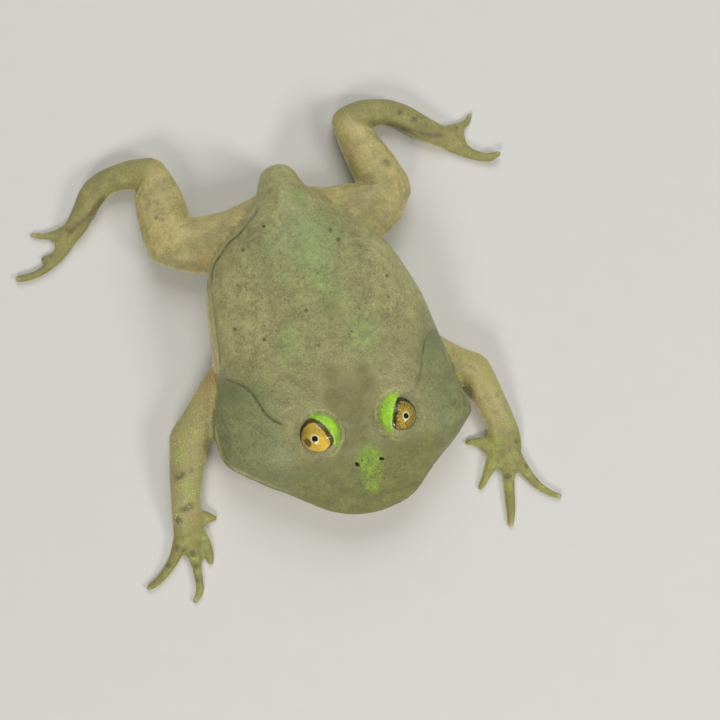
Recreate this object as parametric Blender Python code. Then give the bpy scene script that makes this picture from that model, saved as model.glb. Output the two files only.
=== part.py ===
"""Wide-mouthed frog (Lepidobatrachus), life size, lying flat with its legs spread.

The trunk is one loft through named cross-sections, parted into torso, head and lower jaw.
The limbs are lofts along short paths, parted at each joint, and every neighbour keeps a
clear gap. The head looks along -Y, the frog's left side is +X, and the belly lies on z = 0.
"""

import math
from dataclasses import dataclass, fields

import bmesh
import bpy
from mathutils import Matrix, Vector

# Clearances
GAP = 0.0003
HALF_GAP = 0.5 * GAP

# Facets
TRUNK_SIDES = 40
TRUNK_STEP = 0.0021
LIMB_SIDES = 16
LIMB_STEP = 0.0030
TOE_SIDES = 8
TOE_STEP = 0.0021
CAP_ANGLES = (27.0, 54.0, 78.0)
MERGE = 0.000004

# Limbs press this far into the floor plane before they are cut flat
SINK = 0.0004

# Neck: the upright plane between torso and head, turned a little with the head
NECK_PLACE = Vector((0.0, -0.0036, 0.0))
NECK_TURN = math.radians(-3.7)

# Mouth: the line between the lips from the snout back to its corner, then down the jaw's hind edge
MOUTH_LINE = (
    (-0.0450, 0.0081),
    (-0.0383, 0.0081),
    (-0.0330, 0.0079),
    (-0.0270, 0.0074),
    (-0.0210, 0.0067),
    (-0.0160, 0.0060),
    (-0.0124, 0.0053),
    (-0.0100, 0.0044),
    (-0.0086, 0.0030),
    (-0.0080, 0.0012),
    (-0.0078, -0.0040),
)
MOUTH_CORNER = -0.0124
MOUTH_BLOCK_WIDTH = 0.1000
LIP_RADIUS = 0.00068
LIP_RISE = 0.00078
LIP_INSET = 0.00022
LIP_POINTS = 44
LIP_SAMPLES = 4 * LIP_POINTS
LIP_END_SHARE = 0.35

# Eyes, which look up and out
EYE_RADIUS = 0.0042
EYE_MIDDLE = Vector((0.0016, -0.0194, 0.0180))
EYE_SPACING = 0.0163
HEAD_TURN = math.radians(-3.3)
EYE_TILT = math.radians(28.0)
EYE_FORWARD = math.radians(10.0)
EYE_OPENING = math.radians(57.0)
EYE_SEGMENTS = 22
EYE_RINGS = 12
OPENING_REACH = 0.0060
ORBIT_RADIUS = 0.0054
ORBIT_SIDES = 28
ORBIT_ANGLES = (84.0, 72.0, 60.0, 48.0, 36.0, 24.0, 12.0)
ORBIT_SKIRT = ((0.0059, 0.0003), (0.0068, -0.0006), (0.0077, -0.0015), (0.0078, -0.0040))
LID_ANGLE_RIGHT = math.radians(34.0)
LID_ANGLE_LEFT = math.radians(14.0)

# Nostrils, small open tubes with a raised rim
NOSTRIL_MIDDLE = Vector((0.0019, -0.0274, 0.0))
NOSTRIL_SPACING = 0.0052
NOSTRIL_RADIUS = 0.00042
NOSTRIL_DEPTH = 0.0016
NOSTRIL_RIM_RADIUS = 0.00115
NOSTRIL_RIM_TOP = 0.00075
NOSTRIL_RIM_HEIGHT = 0.0013
NOSTRIL_RIM_PROUD = 0.00042
NOSTRIL_SEGMENTS = 14

# Spade, the hard digging edge on the inner side of each hind foot
SPADE_LENGTH = 0.0026
SPADE_THICKNESS = 0.0012
SPADE_HEIGHT = 0.0014
SPADE_BEVEL = 0.0004
SPADE_BEVEL_STEPS = 2

# Web between the toes
WEB_LOW = 0.0002
WEB_HIGH = 0.0010

RIGHT = -1.0
LEFT = 1.0


@dataclass(frozen=True)
class Section:
    """Upright cross-section of the trunk; widths run each way from its centre."""

    y: float
    centre: float
    right: float
    left: float
    crown: float
    edge: float
    belly: float
    arch: float


TRUNK = (
    Section(-0.03830, 0.0022, 0.0009, 0.0010, 0.0091, 0.0086, 0.0081, 2.0),
    Section(-0.03810, 0.0022, 0.0027, 0.0032, 0.0097, 0.0086, 0.0072, 2.0),
    Section(-0.03770, 0.0022, 0.0049, 0.0055, 0.0103, 0.0086, 0.0062, 2.1),
    Section(-0.03700, 0.0022, 0.0070, 0.0077, 0.0110, 0.0085, 0.0051, 2.1),
    Section(-0.03600, 0.0022, 0.0090, 0.0093, 0.0118, 0.0085, 0.0041, 2.1),
    Section(-0.03500, 0.0022, 0.0108, 0.0104, 0.0125, 0.0084, 0.0033, 2.1),
    Section(-0.03300, 0.0022, 0.0133, 0.0128, 0.0139, 0.0083, 0.0020, 2.1),
    Section(-0.03100, 0.0022, 0.0158, 0.0156, 0.0152, 0.0081, 0.0011, 2.1),
    Section(-0.02900, 0.0022, 0.0183, 0.0187, 0.0163, 0.0079, 0.0004, 2.1),
    Section(-0.02700, 0.0022, 0.0212, 0.0214, 0.0172, 0.0077, -0.0001, 2.1),
    Section(-0.02500, 0.0022, 0.0235, 0.0237, 0.0180, 0.0075, -0.0004, 2.1),
    Section(-0.02280, 0.0022, 0.0261, 0.0256, 0.0187, 0.0072, -0.0007, 2.1),
    Section(-0.02150, 0.0022, 0.0275, 0.0252, 0.0190, 0.0071, -0.0008, 2.1),
    Section(-0.01850, 0.0022, 0.0292, 0.0244, 0.0197, 0.0069, -0.0010, 2.1),
    Section(-0.01500, 0.0022, 0.0293, 0.0239, 0.0206, 0.0068, -0.0010, 2.1),
    Section(-0.01000, 0.0018, 0.0281, 0.0238, 0.0218, 0.0069, -0.0010, 2.15),
    Section(-0.00500, 0.0010, 0.0252, 0.0240, 0.0227, 0.0071, -0.0010, 2.2),
    Section(0.00100, 0.0003, 0.0236, 0.0239, 0.0233, 0.0074, -0.0010, 2.3),
    Section(0.01000, 0.0000, 0.0219, 0.0218, 0.0234, 0.0078, -0.0010, 2.3),
    Section(0.01700, 0.0000, 0.0203, 0.0190, 0.0226, 0.0080, -0.0010, 2.3),
    Section(0.02250, 0.0000, 0.0163, 0.0142, 0.0211, 0.0081, -0.0008, 2.2),
    Section(0.02750, 0.0002, 0.0103, 0.0094, 0.0193, 0.0083, -0.0004, 2.1),
    Section(0.03100, 0.0004, 0.0064, 0.0060, 0.0178, 0.0086, 0.0006, 2.0),
    Section(0.03320, 0.0004, 0.0050, 0.0049, 0.0166, 0.0090, 0.0022, 2.0),
    Section(0.03560, 0.0004, 0.0040, 0.0041, 0.0150, 0.0095, 0.0045, 2.0),
    Section(0.03715, 0.0004, 0.0030, 0.0031, 0.0135, 0.0098, 0.0066, 2.0),
    Section(0.03795, 0.0004, 0.0011, 0.0012, 0.0114, 0.0100, 0.0087, 2.0),
)
KEEL_ARCH = 2.5


@dataclass(frozen=True)
class Station:
    """One place on a limb's path: its middle, half its width, half its height, clearance below."""

    x: float
    y: float
    width: float
    height: float
    lift: float = 0.0


# Fore limbs
UPPER_ARM_RIGHT = (
    Station(-0.0185, -0.0005, 0.0046, 0.0046, 0.0018),
    Station(-0.0240, -0.0052, 0.0043, 0.0044, 0.0012),
    Station(-0.0288, -0.0096, 0.0041, 0.0043, 0.0004),
    Station(-0.0325, -0.0130, 0.0043, 0.0042, 0.0),
)
FOREARM_RIGHT = (
    Station(-0.0325, -0.0130, 0.0043, 0.0042),
    Station(-0.0346, -0.0188, 0.0037, 0.0039),
    Station(-0.0361, -0.0230, 0.0033, 0.0034),
    Station(-0.0371, -0.0268, 0.0031, 0.0028),
    Station(-0.0375, -0.0290, 0.0031, 0.0024),
)
HAND_RIGHT = (
    Station(-0.0375, -0.0290, 0.0031, 0.0024),
    Station(-0.0378, -0.0308, 0.0032, 0.0021),
    Station(-0.0381, -0.0325, 0.0032, 0.0018),
)
FINGERS_RIGHT = {
    "i": (
        Station(-0.0362, -0.0299, 0.0022, 0.0014),
        Station(-0.0341, -0.0302, 0.0018, 0.0012),
        Station(-0.0329, -0.0305, 0.0011, 0.0010),
        Station(-0.0321, -0.0308, 0.0007, 0.0008),
    ),
    "ii": (
        Station(-0.0362, -0.0325, 0.0015, 0.0014),
        Station(-0.0353, -0.0350, 0.0012, 0.0012),
        Station(-0.0351, -0.0372, 0.0010, 0.0010),
        Station(-0.0353, -0.0396, 0.0007, 0.0008),
    ),
    "iii": (
        Station(-0.0383, -0.0335, 0.0020, 0.0015),
        Station(-0.0383, -0.0360, 0.0016, 0.0014),
        Station(-0.0383, -0.0380, 0.0013, 0.0012),
        Station(-0.0386, -0.0410, 0.0009, 0.0011),
        Station(-0.0389, -0.0440, 0.0009, 0.0010),
        Station(-0.0397, -0.0460, 0.0008, 0.0009),
        Station(-0.0407, -0.0467, 0.0006, 0.0008),
    ),
    "iv": (
        Station(-0.0398, -0.0325, 0.0018, 0.0015),
        Station(-0.0413, -0.0350, 0.0014, 0.0014),
        Station(-0.0427, -0.0369, 0.0012, 0.0012),
        Station(-0.0447, -0.0387, 0.0010, 0.0011),
        Station(-0.0470, -0.0403, 0.0009, 0.0010),
        Station(-0.0492, -0.0411, 0.0007, 0.0009),
    ),
}
UPPER_ARM_LEFT = (
    Station(0.0178, -0.0036, 0.0046, 0.0046, 0.0018),
    Station(0.0228, -0.0090, 0.0042, 0.0044, 0.0012),
    Station(0.0270, -0.0130, 0.0040, 0.0043, 0.0004),
    Station(0.0309, -0.0158, 0.0042, 0.0042, 0.0),
)
FOREARM_LEFT = (
    Station(0.0309, -0.0158, 0.0042, 0.0042),
    Station(0.0323, -0.0200, 0.0037, 0.0039),
    Station(0.0332, -0.0238, 0.0034, 0.0034),
    Station(0.0340, -0.0272, 0.0033, 0.0028),
    Station(0.0343, -0.0295, 0.0034, 0.0024),
)
HAND_LEFT = (
    Station(0.0343, -0.0295, 0.0034, 0.0024),
    Station(0.0343, -0.0318, 0.0036, 0.0021),
    Station(0.0339, -0.0340, 0.0038, 0.0018),
)
FINGERS_LEFT = {
    "i": (
        Station(0.0318, -0.0330, 0.0022, 0.0014),
        Station(0.0300, -0.0325, 0.0019, 0.0013),
        Station(0.0287, -0.0316, 0.0012, 0.0011),
        Station(0.0274, -0.0311, 0.0009, 0.0010),
        Station(0.0262, -0.0309, 0.0006, 0.0008),
    ),
    "ii": (
        Station(0.0318, -0.0350, 0.0018, 0.0014),
        Station(0.0299, -0.0370, 0.0015, 0.0013),
        Station(0.0284, -0.0388, 0.0010, 0.0011),
        Station(0.0272, -0.0403, 0.0008, 0.0009),
        Station(0.0262, -0.0413, 0.0006, 0.0008),
    ),
    "iii": (
        Station(0.0337, -0.0370, 0.0022, 0.0015),
        Station(0.0333, -0.0393, 0.0019, 0.0014),
        Station(0.0328, -0.0412, 0.0013, 0.0012),
        Station(0.0321, -0.0443, 0.0012, 0.0011),
        Station(0.0315, -0.0473, 0.0011, 0.0010),
        Station(0.0310, -0.0495, 0.0009, 0.0009),
        Station(0.0305, -0.0511, 0.0007, 0.0008),
    ),
    "iv": (
        Station(0.0352, -0.0365, 0.0020, 0.0015),
        Station(0.0364, -0.0393, 0.0014, 0.0013),
        Station(0.0375, -0.0421, 0.0011, 0.0012),
        Station(0.0391, -0.0449, 0.0009, 0.0010),
        Station(0.0413, -0.0473, 0.0007, 0.0009),
        Station(0.0429, -0.0484, 0.0006, 0.0008),
    ),
}

# Hind limbs
THIGH_RIGHT = (
    Station(-0.0050, 0.0256, 0.0078, 0.0064),
    Station(-0.0120, 0.0256, 0.0064, 0.0061),
    Station(-0.0185, 0.0262, 0.0062, 0.0056),
    Station(-0.0249, 0.0286, 0.0053, 0.0051),
)
SHANK_RIGHT = (
    Station(-0.0249, 0.0286, 0.0053, 0.0051),
    Station(-0.0248, 0.0335, 0.0055, 0.0049),
    Station(-0.0247, 0.0385, 0.0051, 0.0045),
    Station(-0.0252, 0.0437, 0.0041, 0.0036),
)
FOOT_RIGHT = (
    Station(-0.0252, 0.0437, 0.0040, 0.0036),
    Station(-0.0300, 0.0452, 0.0030, 0.0030),
    Station(-0.0340, 0.0450, 0.0027, 0.0027),
    Station(-0.0376, 0.0434, 0.0028, 0.0025),
    Station(-0.0402, 0.0406, 0.0025, 0.0022),
    Station(-0.0426, 0.0380, 0.0023, 0.0019),
    Station(-0.0446, 0.0364, 0.0021, 0.0016),
    Station(-0.0462, 0.0353, 0.0019, 0.0012),
)
TOES_RIGHT = {
    "i": (
        Station(-0.0428, 0.0368, 0.0009, 0.0009),
        Station(-0.0440, 0.0352, 0.0007, 0.0008),
    ),
    "ii": (
        Station(-0.0445, 0.0354, 0.0009, 0.0009),
        Station(-0.0466, 0.0333, 0.0008, 0.0008),
    ),
    "iii": (
        Station(-0.0455, 0.0350, 0.0010, 0.0010),
        Station(-0.0490, 0.0330, 0.0006, 0.0008),
        Station(-0.0517, 0.0328, 0.0005, 0.0007),
    ),
    "iv": (
        Station(-0.0450, 0.0350, 0.0012, 0.0011),
        Station(-0.0486, 0.0322, 0.0011, 0.0011),
        Station(-0.0520, 0.0305, 0.0009, 0.0010),
        Station(-0.0550, 0.0298, 0.0008, 0.0009),
        Station(-0.0577, 0.0300, 0.0008, 0.0009),
    ),
    "v": (
        Station(-0.0440, 0.0378, 0.0013, 0.0011),
        Station(-0.0477, 0.0371, 0.0010, 0.0010),
        Station(-0.0503, 0.0374, 0.0007, 0.0008),
        Station(-0.0525, 0.0383, 0.0005, 0.0007),
    ),
}
WEB_RIGHT = (
    (-0.0440, 0.0380),
    (-0.0492, 0.0366),
    (-0.0484, 0.0356),
    (-0.0484, 0.0345),
    (-0.0494, 0.0334),
    (-0.0488, 0.0320),
    (-0.0466, 0.0330),
    (-0.0446, 0.0345),
    (-0.0428, 0.0366),
)
THIGH_LEFT = (
    Station(0.0050, 0.0250, 0.0079, 0.0065),
    Station(0.0118, 0.0243, 0.0068, 0.0062),
    Station(0.0175, 0.0243, 0.0070, 0.0058),
    Station(0.0207, 0.0258, 0.0067, 0.0055),
    Station(0.0233, 0.0277, 0.0056, 0.0052),
)
SHANK_LEFT = (
    Station(0.0233, 0.0277, 0.0056, 0.0052),
    Station(0.0222, 0.0330, 0.0051, 0.0049),
    Station(0.0208, 0.0380, 0.0044, 0.0045),
    Station(0.0195, 0.0441, 0.0036, 0.0036),
)
FOOT_LEFT = (
    Station(0.0195, 0.0441, 0.0036, 0.0036),
    Station(0.0236, 0.0452, 0.0032, 0.0030),
    Station(0.0280, 0.0446, 0.0029, 0.0027),
    Station(0.0319, 0.0426, 0.0028, 0.0025),
    Station(0.0350, 0.0397, 0.0028, 0.0022),
    Station(0.0381, 0.0372, 0.0025, 0.0019),
    Station(0.0404, 0.0357, 0.0024, 0.0016),
    Station(0.0420, 0.0346, 0.0021, 0.0012),
)
TOES_LEFT = {
    "i": (
        Station(0.0380, 0.0362, 0.0009, 0.0009),
        Station(0.0397, 0.0344, 0.0008, 0.0008),
    ),
    "ii": (
        Station(0.0398, 0.0350, 0.0009, 0.0009),
        Station(0.0418, 0.0328, 0.0008, 0.0008),
    ),
    "iii": (
        Station(0.0412, 0.0344, 0.0011, 0.0010),
        Station(0.0432, 0.0331, 0.0010, 0.0009),
    ),
    "iv": (
        Station(0.0406, 0.0340, 0.0013, 0.0011),
        Station(0.0438, 0.0318, 0.0013, 0.0011),
        Station(0.0464, 0.0301, 0.0011, 0.0010),
        Station(0.0489, 0.0290, 0.0010, 0.0010, 0.0004),
        Station(0.0508, 0.0293, 0.0007, 0.0008, 0.0010),
    ),
    "v": (
        Station(0.0404, 0.0372, 0.0013, 0.0011),
        Station(0.0432, 0.0374, 0.0011, 0.0010),
        Station(0.0453, 0.0376, 0.0008, 0.0009),
        Station(0.0468, 0.0385, 0.0006, 0.0008),
        Station(0.0474, 0.0395, 0.0005, 0.0007),
    ),
}
WEB_LEFT = (
    (0.0404, 0.0374),
    (0.0446, 0.0374),
    (0.0447, 0.0352),
    (0.0446, 0.0336),
    (0.0455, 0.0320),
    (0.0462, 0.0302),
    (0.0438, 0.0312),
    (0.0418, 0.0326),
    (0.0398, 0.0342),
    (0.0382, 0.0360),
)
SPADE_RIGHT = Vector((-0.0389, 0.0394, 0.0009))
SPADE_LEFT = Vector((0.0339, 0.0383, 0.0009))
SPADE_TURN_RIGHT = math.radians(48.0)
SPADE_TURN_LEFT = math.radians(-37.0)

# Surface colours: linear red, green, blue
SKIN_BACK = (0.262, 0.266, 0.133)
SKIN_LIMB = (0.342, 0.319, 0.137)
SKIN_JAW = (0.520, 0.500, 0.300)
EYE_GOLD = (0.560, 0.310, 0.050)
SPADE_BLACK = (0.020, 0.018, 0.016)
SKIN_ROUGHNESS = 0.35
EYE_ROUGHNESS = 0.08
SPADE_ROUGHNESS = 0.30

# Cuts sharper than this keep a crisp edge in the shading
SHARP_ANGLE = math.radians(40.0)


def clear_scene():
    """Remove what the new scene holds."""
    for item in list(bpy.data.objects):
        bpy.data.objects.remove(item, do_unlink=True)


def make_material(name, colour, roughness):
    """Principled material with one colour."""
    material = bpy.data.materials.new(name)
    material.use_nodes = True
    shader = material.node_tree.nodes["Principled BSDF"]
    shader.inputs["Base Color"].default_value = (*colour, 1.0)
    shader.inputs["Roughness"].default_value = roughness
    shader.inputs["Metallic"].default_value = 0.0
    return material


def make_object(name, shape):
    """Turn a bmesh into a named object in the scene, and free the bmesh."""
    mesh = bpy.data.meshes.new(name)
    shape.to_mesh(mesh)
    shape.free()
    item = bpy.data.objects.new(name, mesh)
    bpy.context.scene.collection.objects.link(item)
    return item


def read_shape(item):
    """Object's own mesh as a bmesh."""
    shape = bmesh.new()
    shape.from_mesh(item.data)
    return shape


def write_shape(item, shape):
    """Put a bmesh back in its object, and free the bmesh."""
    shape.to_mesh(item.data)
    shape.free()
    item.data.update()


def copy_object(item, name):
    """Second object with its own copy of the mesh."""
    twin = bpy.data.objects.new(name, item.data.copy())
    bpy.context.scene.collection.objects.link(twin)
    return twin


def remove_objects(items):
    """Delete helper objects."""
    for item in items:
        bpy.data.objects.remove(item, do_unlink=True)


def apply_modifiers(item):
    """Replace the mesh by what its modifiers make of it."""
    depsgraph = bpy.context.evaluated_depsgraph_get()
    mesh = bpy.data.meshes.new_from_object(item.evaluated_get(depsgraph))
    item.modifiers.clear()
    item.data = mesh


def keep_largest(item):
    """Merge doubled points, then keep only the closed surface that has the most of them."""
    shape = read_shape(item)
    bmesh.ops.remove_doubles(shape, verts=shape.verts, dist=MERGE)
    bmesh.ops.dissolve_degenerate(shape, dist=MERGE, edges=shape.edges)
    pending = set(shape.verts)
    islands = []
    while pending:
        front = [pending.pop()]
        island = set(front)
        while front:
            for edge in front.pop().link_edges:
                for vert in edge.verts:
                    if vert in pending:
                        pending.remove(vert)
                        island.add(vert)
                        front.append(vert)
        islands.append(island)
    islands.sort(key=len)
    for island in islands[:-1]:
        bmesh.ops.delete(shape, geom=list(island), context="VERTS")
    bmesh.ops.recalc_face_normals(shape, faces=shape.faces)
    write_shape(item, shape)


def boolean(item, cutters, operation):
    """Cut or join closed meshes, then remove the cutters."""
    for cutter in cutters:
        cutter.hide_render = True
        cutter.display_type = "WIRE"
        modifier = item.modifiers.new(operation, "BOOLEAN")
        modifier.operation = operation
        modifier.solver = "EXACT"
        modifier.object = cutter
        apply_modifiers(item)
    remove_objects(cutters)
    keep_largest(item)


def union(name, items):
    """Fuse closed meshes into one body with one Boolean on their collection."""
    body, *others = items
    body.name = name
    group = bpy.data.collections.new(name)
    for other in others:
        group.objects.link(other)
    modifier = body.modifiers.new("UNION", "BOOLEAN")
    modifier.operation = "UNION"
    modifier.solver = "EXACT"
    modifier.operand_type = "COLLECTION"
    modifier.collection = group
    apply_modifiers(body)
    remove_objects(others)
    bpy.data.collections.remove(group)
    keep_largest(body)
    return body


def bisect(item, place, normal):
    """Cut by a plane, drop what lies on the side its normal points to, and close the cut."""
    shape = read_shape(item)
    geometry = list(shape.verts) + list(shape.edges) + list(shape.faces)
    cut = bmesh.ops.bisect_plane(
        shape, geom=geometry, plane_co=place, plane_no=normal, dist=MERGE, clear_outer=True
    )
    rim = [part for part in cut["geom_cut"] if isinstance(part, bmesh.types.BMEdge)]
    bmesh.ops.holes_fill(shape, edges=rim)
    bmesh.ops.recalc_face_normals(shape, faces=shape.faces)
    write_shape(item, shape)


def slope(before, here, after):
    """Tangent for a curve that never overshoots its points."""
    (x0, v0), (x1, v1), (x2, v2) = before, here, after
    left = (v1 - v0) / (x1 - x0)
    right = (v2 - v1) / (x2 - x1)
    if left * right <= 0.0:
        return 0.0
    return 2.0 * left * right / (left + right)


def smooth_value(places, values, at):
    """Smooth curve through values at rising places."""
    last = len(places) - 1
    index = min(max(sum(place <= at for place in places) - 1, 0), last - 1)
    points = list(zip(places, values))
    low, high = points[index], points[index + 1]
    run = high[0] - low[0]
    step = (high[1] - low[1]) / run
    start = slope(points[index - 1], low, high) if index > 0 else step
    end = slope(low, high, points[index + 2]) if index + 2 <= last else step
    t = (at - low[0]) / run
    rise = (2.0 * t - 3.0) * t * t
    return (
        (1.0 + rise) * low[1]
        - rise * high[1]
        + run * t * (1.0 - t) ** 2 * start
        + run * t * t * (t - 1.0) * end
    )


def section_at(y):
    """Trunk cross-section at any place along the body."""
    places = [section.y for section in TRUNK]
    values = {
        field.name: smooth_value(places, [getattr(section, field.name) for section in TRUNK], y)
        for field in fields(Section)
    }
    return Section(**values)


def power(value, exponent):
    """Signed power, for superellipses."""
    return math.copysign(abs(value) ** exponent, value)


def trunk_ring(section, grow):
    """Points round one cross-section, belly cut flat at the floor."""
    ring = []
    for index in range(TRUNK_SIDES):
        angle = 2.0 * math.pi * index / TRUNK_SIDES
        upper = math.sin(angle) >= 0.0
        exponent = 2.0 / (section.arch if upper else KEEL_ARCH)
        half = (section.left if math.cos(angle) >= 0.0 else section.right) + grow
        tall = (section.crown - section.edge if upper else section.edge - section.belly) + grow
        x = section.centre + half * power(math.cos(angle), exponent)
        z = section.edge + tall * power(math.sin(angle), exponent)
        ring.append(Vector((x, section.y, max(z, -grow))))
    return ring


def crown_height(x, y):
    """Height of the trunk's upper surface over a point."""
    section = section_at(y)
    half = section.left if x > section.centre else section.right
    share = min(abs(x - section.centre) / half, 1.0)
    tall = section.crown - section.edge
    return section.edge + tall * (1.0 - share**section.arch) ** (1.0 / section.arch)


def half_width_at(section, z, side):
    """Half width of a cross-section at one height."""
    half = section.left if side > 0.0 else section.right
    above = z >= section.edge
    tall = section.crown - section.edge if above else section.edge - section.belly
    arch = section.arch if above else KEEL_ARCH
    share = min(abs(z - section.edge) / tall, 1.0)
    return half * (1.0 - share**arch) ** (1.0 / arch)


def loft(name, rings):
    """Closed body through rings with equal numbers of points."""
    shape = bmesh.new()
    loops = [[shape.verts.new(point) for point in ring] for ring in rings]
    count = len(rings[0])
    for lower, upper in zip(loops, loops[1:]):
        for index in range(count):
            following = (index + 1) % count
            shape.faces.new((lower[index], lower[following], upper[following], upper[index]))
    shape.faces.new(loops[0])
    shape.faces.new(loops[-1])
    bmesh.ops.recalc_face_normals(shape, faces=shape.faces)
    return make_object(name, shape)


def make_trunk(name, grow=0.0):
    """Head and body in one loft; grown, it is the cutter that clears the limbs' roots."""
    rings = []
    for low, high in zip(TRUNK, TRUNK[1:]):
        steps = max(1, round((high.y - low.y) / TRUNK_STEP))
        for step in range(steps):
            rings.append(trunk_ring(section_at(low.y + (high.y - low.y) * step / steps), grow))
    rings.append(trunk_ring(TRUNK[-1], grow))
    if grow > 0.0:
        for point in rings[0]:
            point.y -= grow
        for point in rings[-1]:
            point.y += grow
    return loft(name, rings)


def offset_line(points, distance):
    """Open line moved sideways, toward its left hand."""
    moved = []
    for index, (along, up) in enumerate(points):
        before = points[max(index - 1, 0)]
        after = points[min(index + 1, len(points) - 1)]
        run = Vector((after[0] - before[0], after[1] - before[1])).normalized()
        moved.append((along - run.y * distance, up + run.x * distance))
    return moved


def make_mouth_block(name, grow):
    """Room below the mouth line, across the whole head; the jaw is what lies inside."""
    line = offset_line(MOUTH_LINE, grow)
    line.append((MOUTH_LINE[0][0], MOUTH_LINE[-1][1]))
    shape = bmesh.new()
    outline = [shape.verts.new((-0.5 * MOUTH_BLOCK_WIDTH, y, z)) for y, z in line]
    base = shape.faces.new(outline)
    grown = bmesh.ops.extrude_face_region(shape, geom=[base])
    moved = [part for part in grown["geom"] if isinstance(part, bmesh.types.BMVert)]
    bmesh.ops.translate(shape, verts=moved, vec=(MOUTH_BLOCK_WIDTH, 0.0, 0.0))
    bmesh.ops.triangulate(shape, faces=[face for face in shape.faces if len(face.verts) > 4])
    bmesh.ops.recalc_face_normals(shape, faces=shape.faces)
    return make_object(name, shape)


def mouth_height(y):
    """Height of the mouth line at a place along the head."""
    places = [point[0] for point in MOUTH_LINE if point[0] <= MOUTH_CORNER]
    heights = [point[1] for point in MOUTH_LINE if point[0] <= MOUTH_CORNER]
    return smooth_value(places, heights, y) + HALF_GAP


def lip_side(side, rise):
    """Points of one lip from the corner of the mouth to the snout's middle."""
    snout = TRUNK[0].y
    points = []
    for index in range(LIP_SAMPLES):
        turn = 0.5 * math.pi * index / (LIP_SAMPLES - 1)
        y = MOUTH_CORNER + (snout - MOUTH_CORNER) * math.sin(turn)
        section = section_at(y)
        half = half_width_at(section, mouth_height(y) + rise, side)
        points.append(Vector((section.centre + side * half, y)))
    return points


def resample(points, count):
    """Equal steps along a line."""
    lengths = [0.0]
    for low, high in zip(points, points[1:]):
        lengths.append(lengths[-1] + (high - low).length)
    evened = []
    index = 0
    for step in range(count):
        target = lengths[-1] * step / (count - 1)
        while index < len(points) - 2 and lengths[index + 1] < target:
            index += 1
        run = lengths[index + 1] - lengths[index]
        share = (target - lengths[index]) / run if run > 0.0 else 0.0
        evened.append(points[index].lerp(points[index + 1], min(share, 1.0)))
    return evened


def make_lip(name, rise):
    """Rounded bead that follows the mouth from corner to corner."""
    right = lip_side(RIGHT, rise)
    left = lip_side(LEFT, rise)
    line = resample(right + left[::-1], LIP_POINTS)
    rings = []
    for index, point in enumerate(line):
        run = line[min(index + 1, LIP_POINTS - 1)] - line[max(index - 1, 0)]
        inward = Vector((-run.y, run.x)).normalized()
        share = index / (LIP_POINTS - 1)
        swell = math.sqrt(math.sin(math.pi * share))
        radius = LIP_RADIUS * (LIP_END_SHARE + (1.0 - LIP_END_SHARE) * swell)
        middle = point + inward * LIP_INSET
        height = mouth_height(point.y) + rise
        ring = []
        for corner in range(TOE_SIDES):
            angle = 2.0 * math.pi * corner / TOE_SIDES
            place = middle + inward * (radius * math.cos(angle))
            ring.append(Vector((place.x, place.y, height + radius * math.sin(angle))))
        rings.append(ring)
    return loft(name, rings)


def limb_path(stations, step):
    """Stations filled in with a smooth curve, at most one step apart."""
    lengths = [0.0]
    for low, high in zip(stations, stations[1:]):
        lengths.append(lengths[-1] + math.hypot(high.x - low.x, high.y - low.y))
    count = max(2, math.ceil(lengths[-1] / step))
    filled = []
    for index in range(count + 1):
        at = lengths[-1] * index / count
        filled.append(
            Station(
                *(
                    smooth_value(lengths, [getattr(s, field.name) for s in stations], at)
                    for field in fields(Station)
                )
            )
        )
    return filled


def limb_ring(station, run, sides, scale, shift, grow):
    """Upright ring across a limb, flat where it meets the floor."""
    across = Vector((-run.y, run.x))
    middle = Vector((station.x, station.y)) + run * shift
    height = station.lift + station.height - SINK
    ring = []
    for corner in range(sides):
        angle = 2.0 * math.pi * corner / sides
        side = (station.width * scale + grow) * math.cos(angle)
        rise = (station.height * scale + grow) * math.sin(angle)
        place = middle + across * side
        ring.append(Vector((place.x, place.y, max(height + rise, -grow))))
    return ring


def make_limb(name, stations, sides=LIMB_SIDES, step=LIMB_STEP, grow=0.0):
    """Rounded limb along its stations, domed at both ends."""
    path = limb_path(stations, step)
    runs = []
    for index in range(len(path)):
        before = path[max(index - 1, 0)]
        after = path[min(index + 1, len(path) - 1)]
        runs.append(Vector((after.x - before.x, after.y - before.y)).normalized())
    rings = []
    for angle in reversed(CAP_ANGLES):
        turn = math.radians(angle)
        shift = -(path[0].width + grow) * math.sin(turn)
        rings.append(limb_ring(path[0], runs[0], sides, math.cos(turn), shift, grow))
    for station, run in zip(path, runs):
        rings.append(limb_ring(station, run, sides, 1.0, 0.0, grow))
    for angle in CAP_ANGLES:
        turn = math.radians(angle)
        shift = (path[-1].width + grow) * math.sin(turn)
        rings.append(limb_ring(path[-1], runs[-1], sides, math.cos(turn), shift, grow))
    return loft(name, rings)


def direction(low, high):
    """Level unit vector from one station to another."""
    return Vector((high.x - low.x, high.y - low.y, 0.0)).normalized()


def part_at_joint(upper, lower, upper_stations, lower_stations):
    """Cut two limb pieces apart by the plane that halves the bend between them."""
    joint = upper_stations[-1]
    place = Vector((joint.x, joint.y, 0.0))
    normal = (
        direction(upper_stations[-2], joint) + direction(lower_stations[0], lower_stations[1])
    ).normalized()
    bisect(upper, place - normal * HALF_GAP, normal)
    bisect(lower, place + normal * HALF_GAP, -normal)


def eye_centre(side):
    """Middle of one eyeball."""
    turn = Matrix.Rotation(HEAD_TURN, 4, "Z")
    return EYE_MIDDLE + turn @ Vector((0.5 * side * EYE_SPACING, 0.0, 0.0))


def eye_axis(side):
    """Direction in which one eye looks."""
    level = Vector((side * math.cos(EYE_FORWARD), -math.sin(EYE_FORWARD), 0.0))
    return (level * math.sin(EYE_TILT) + Vector((0.0, 0.0, math.cos(EYE_TILT)))).normalized()


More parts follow.
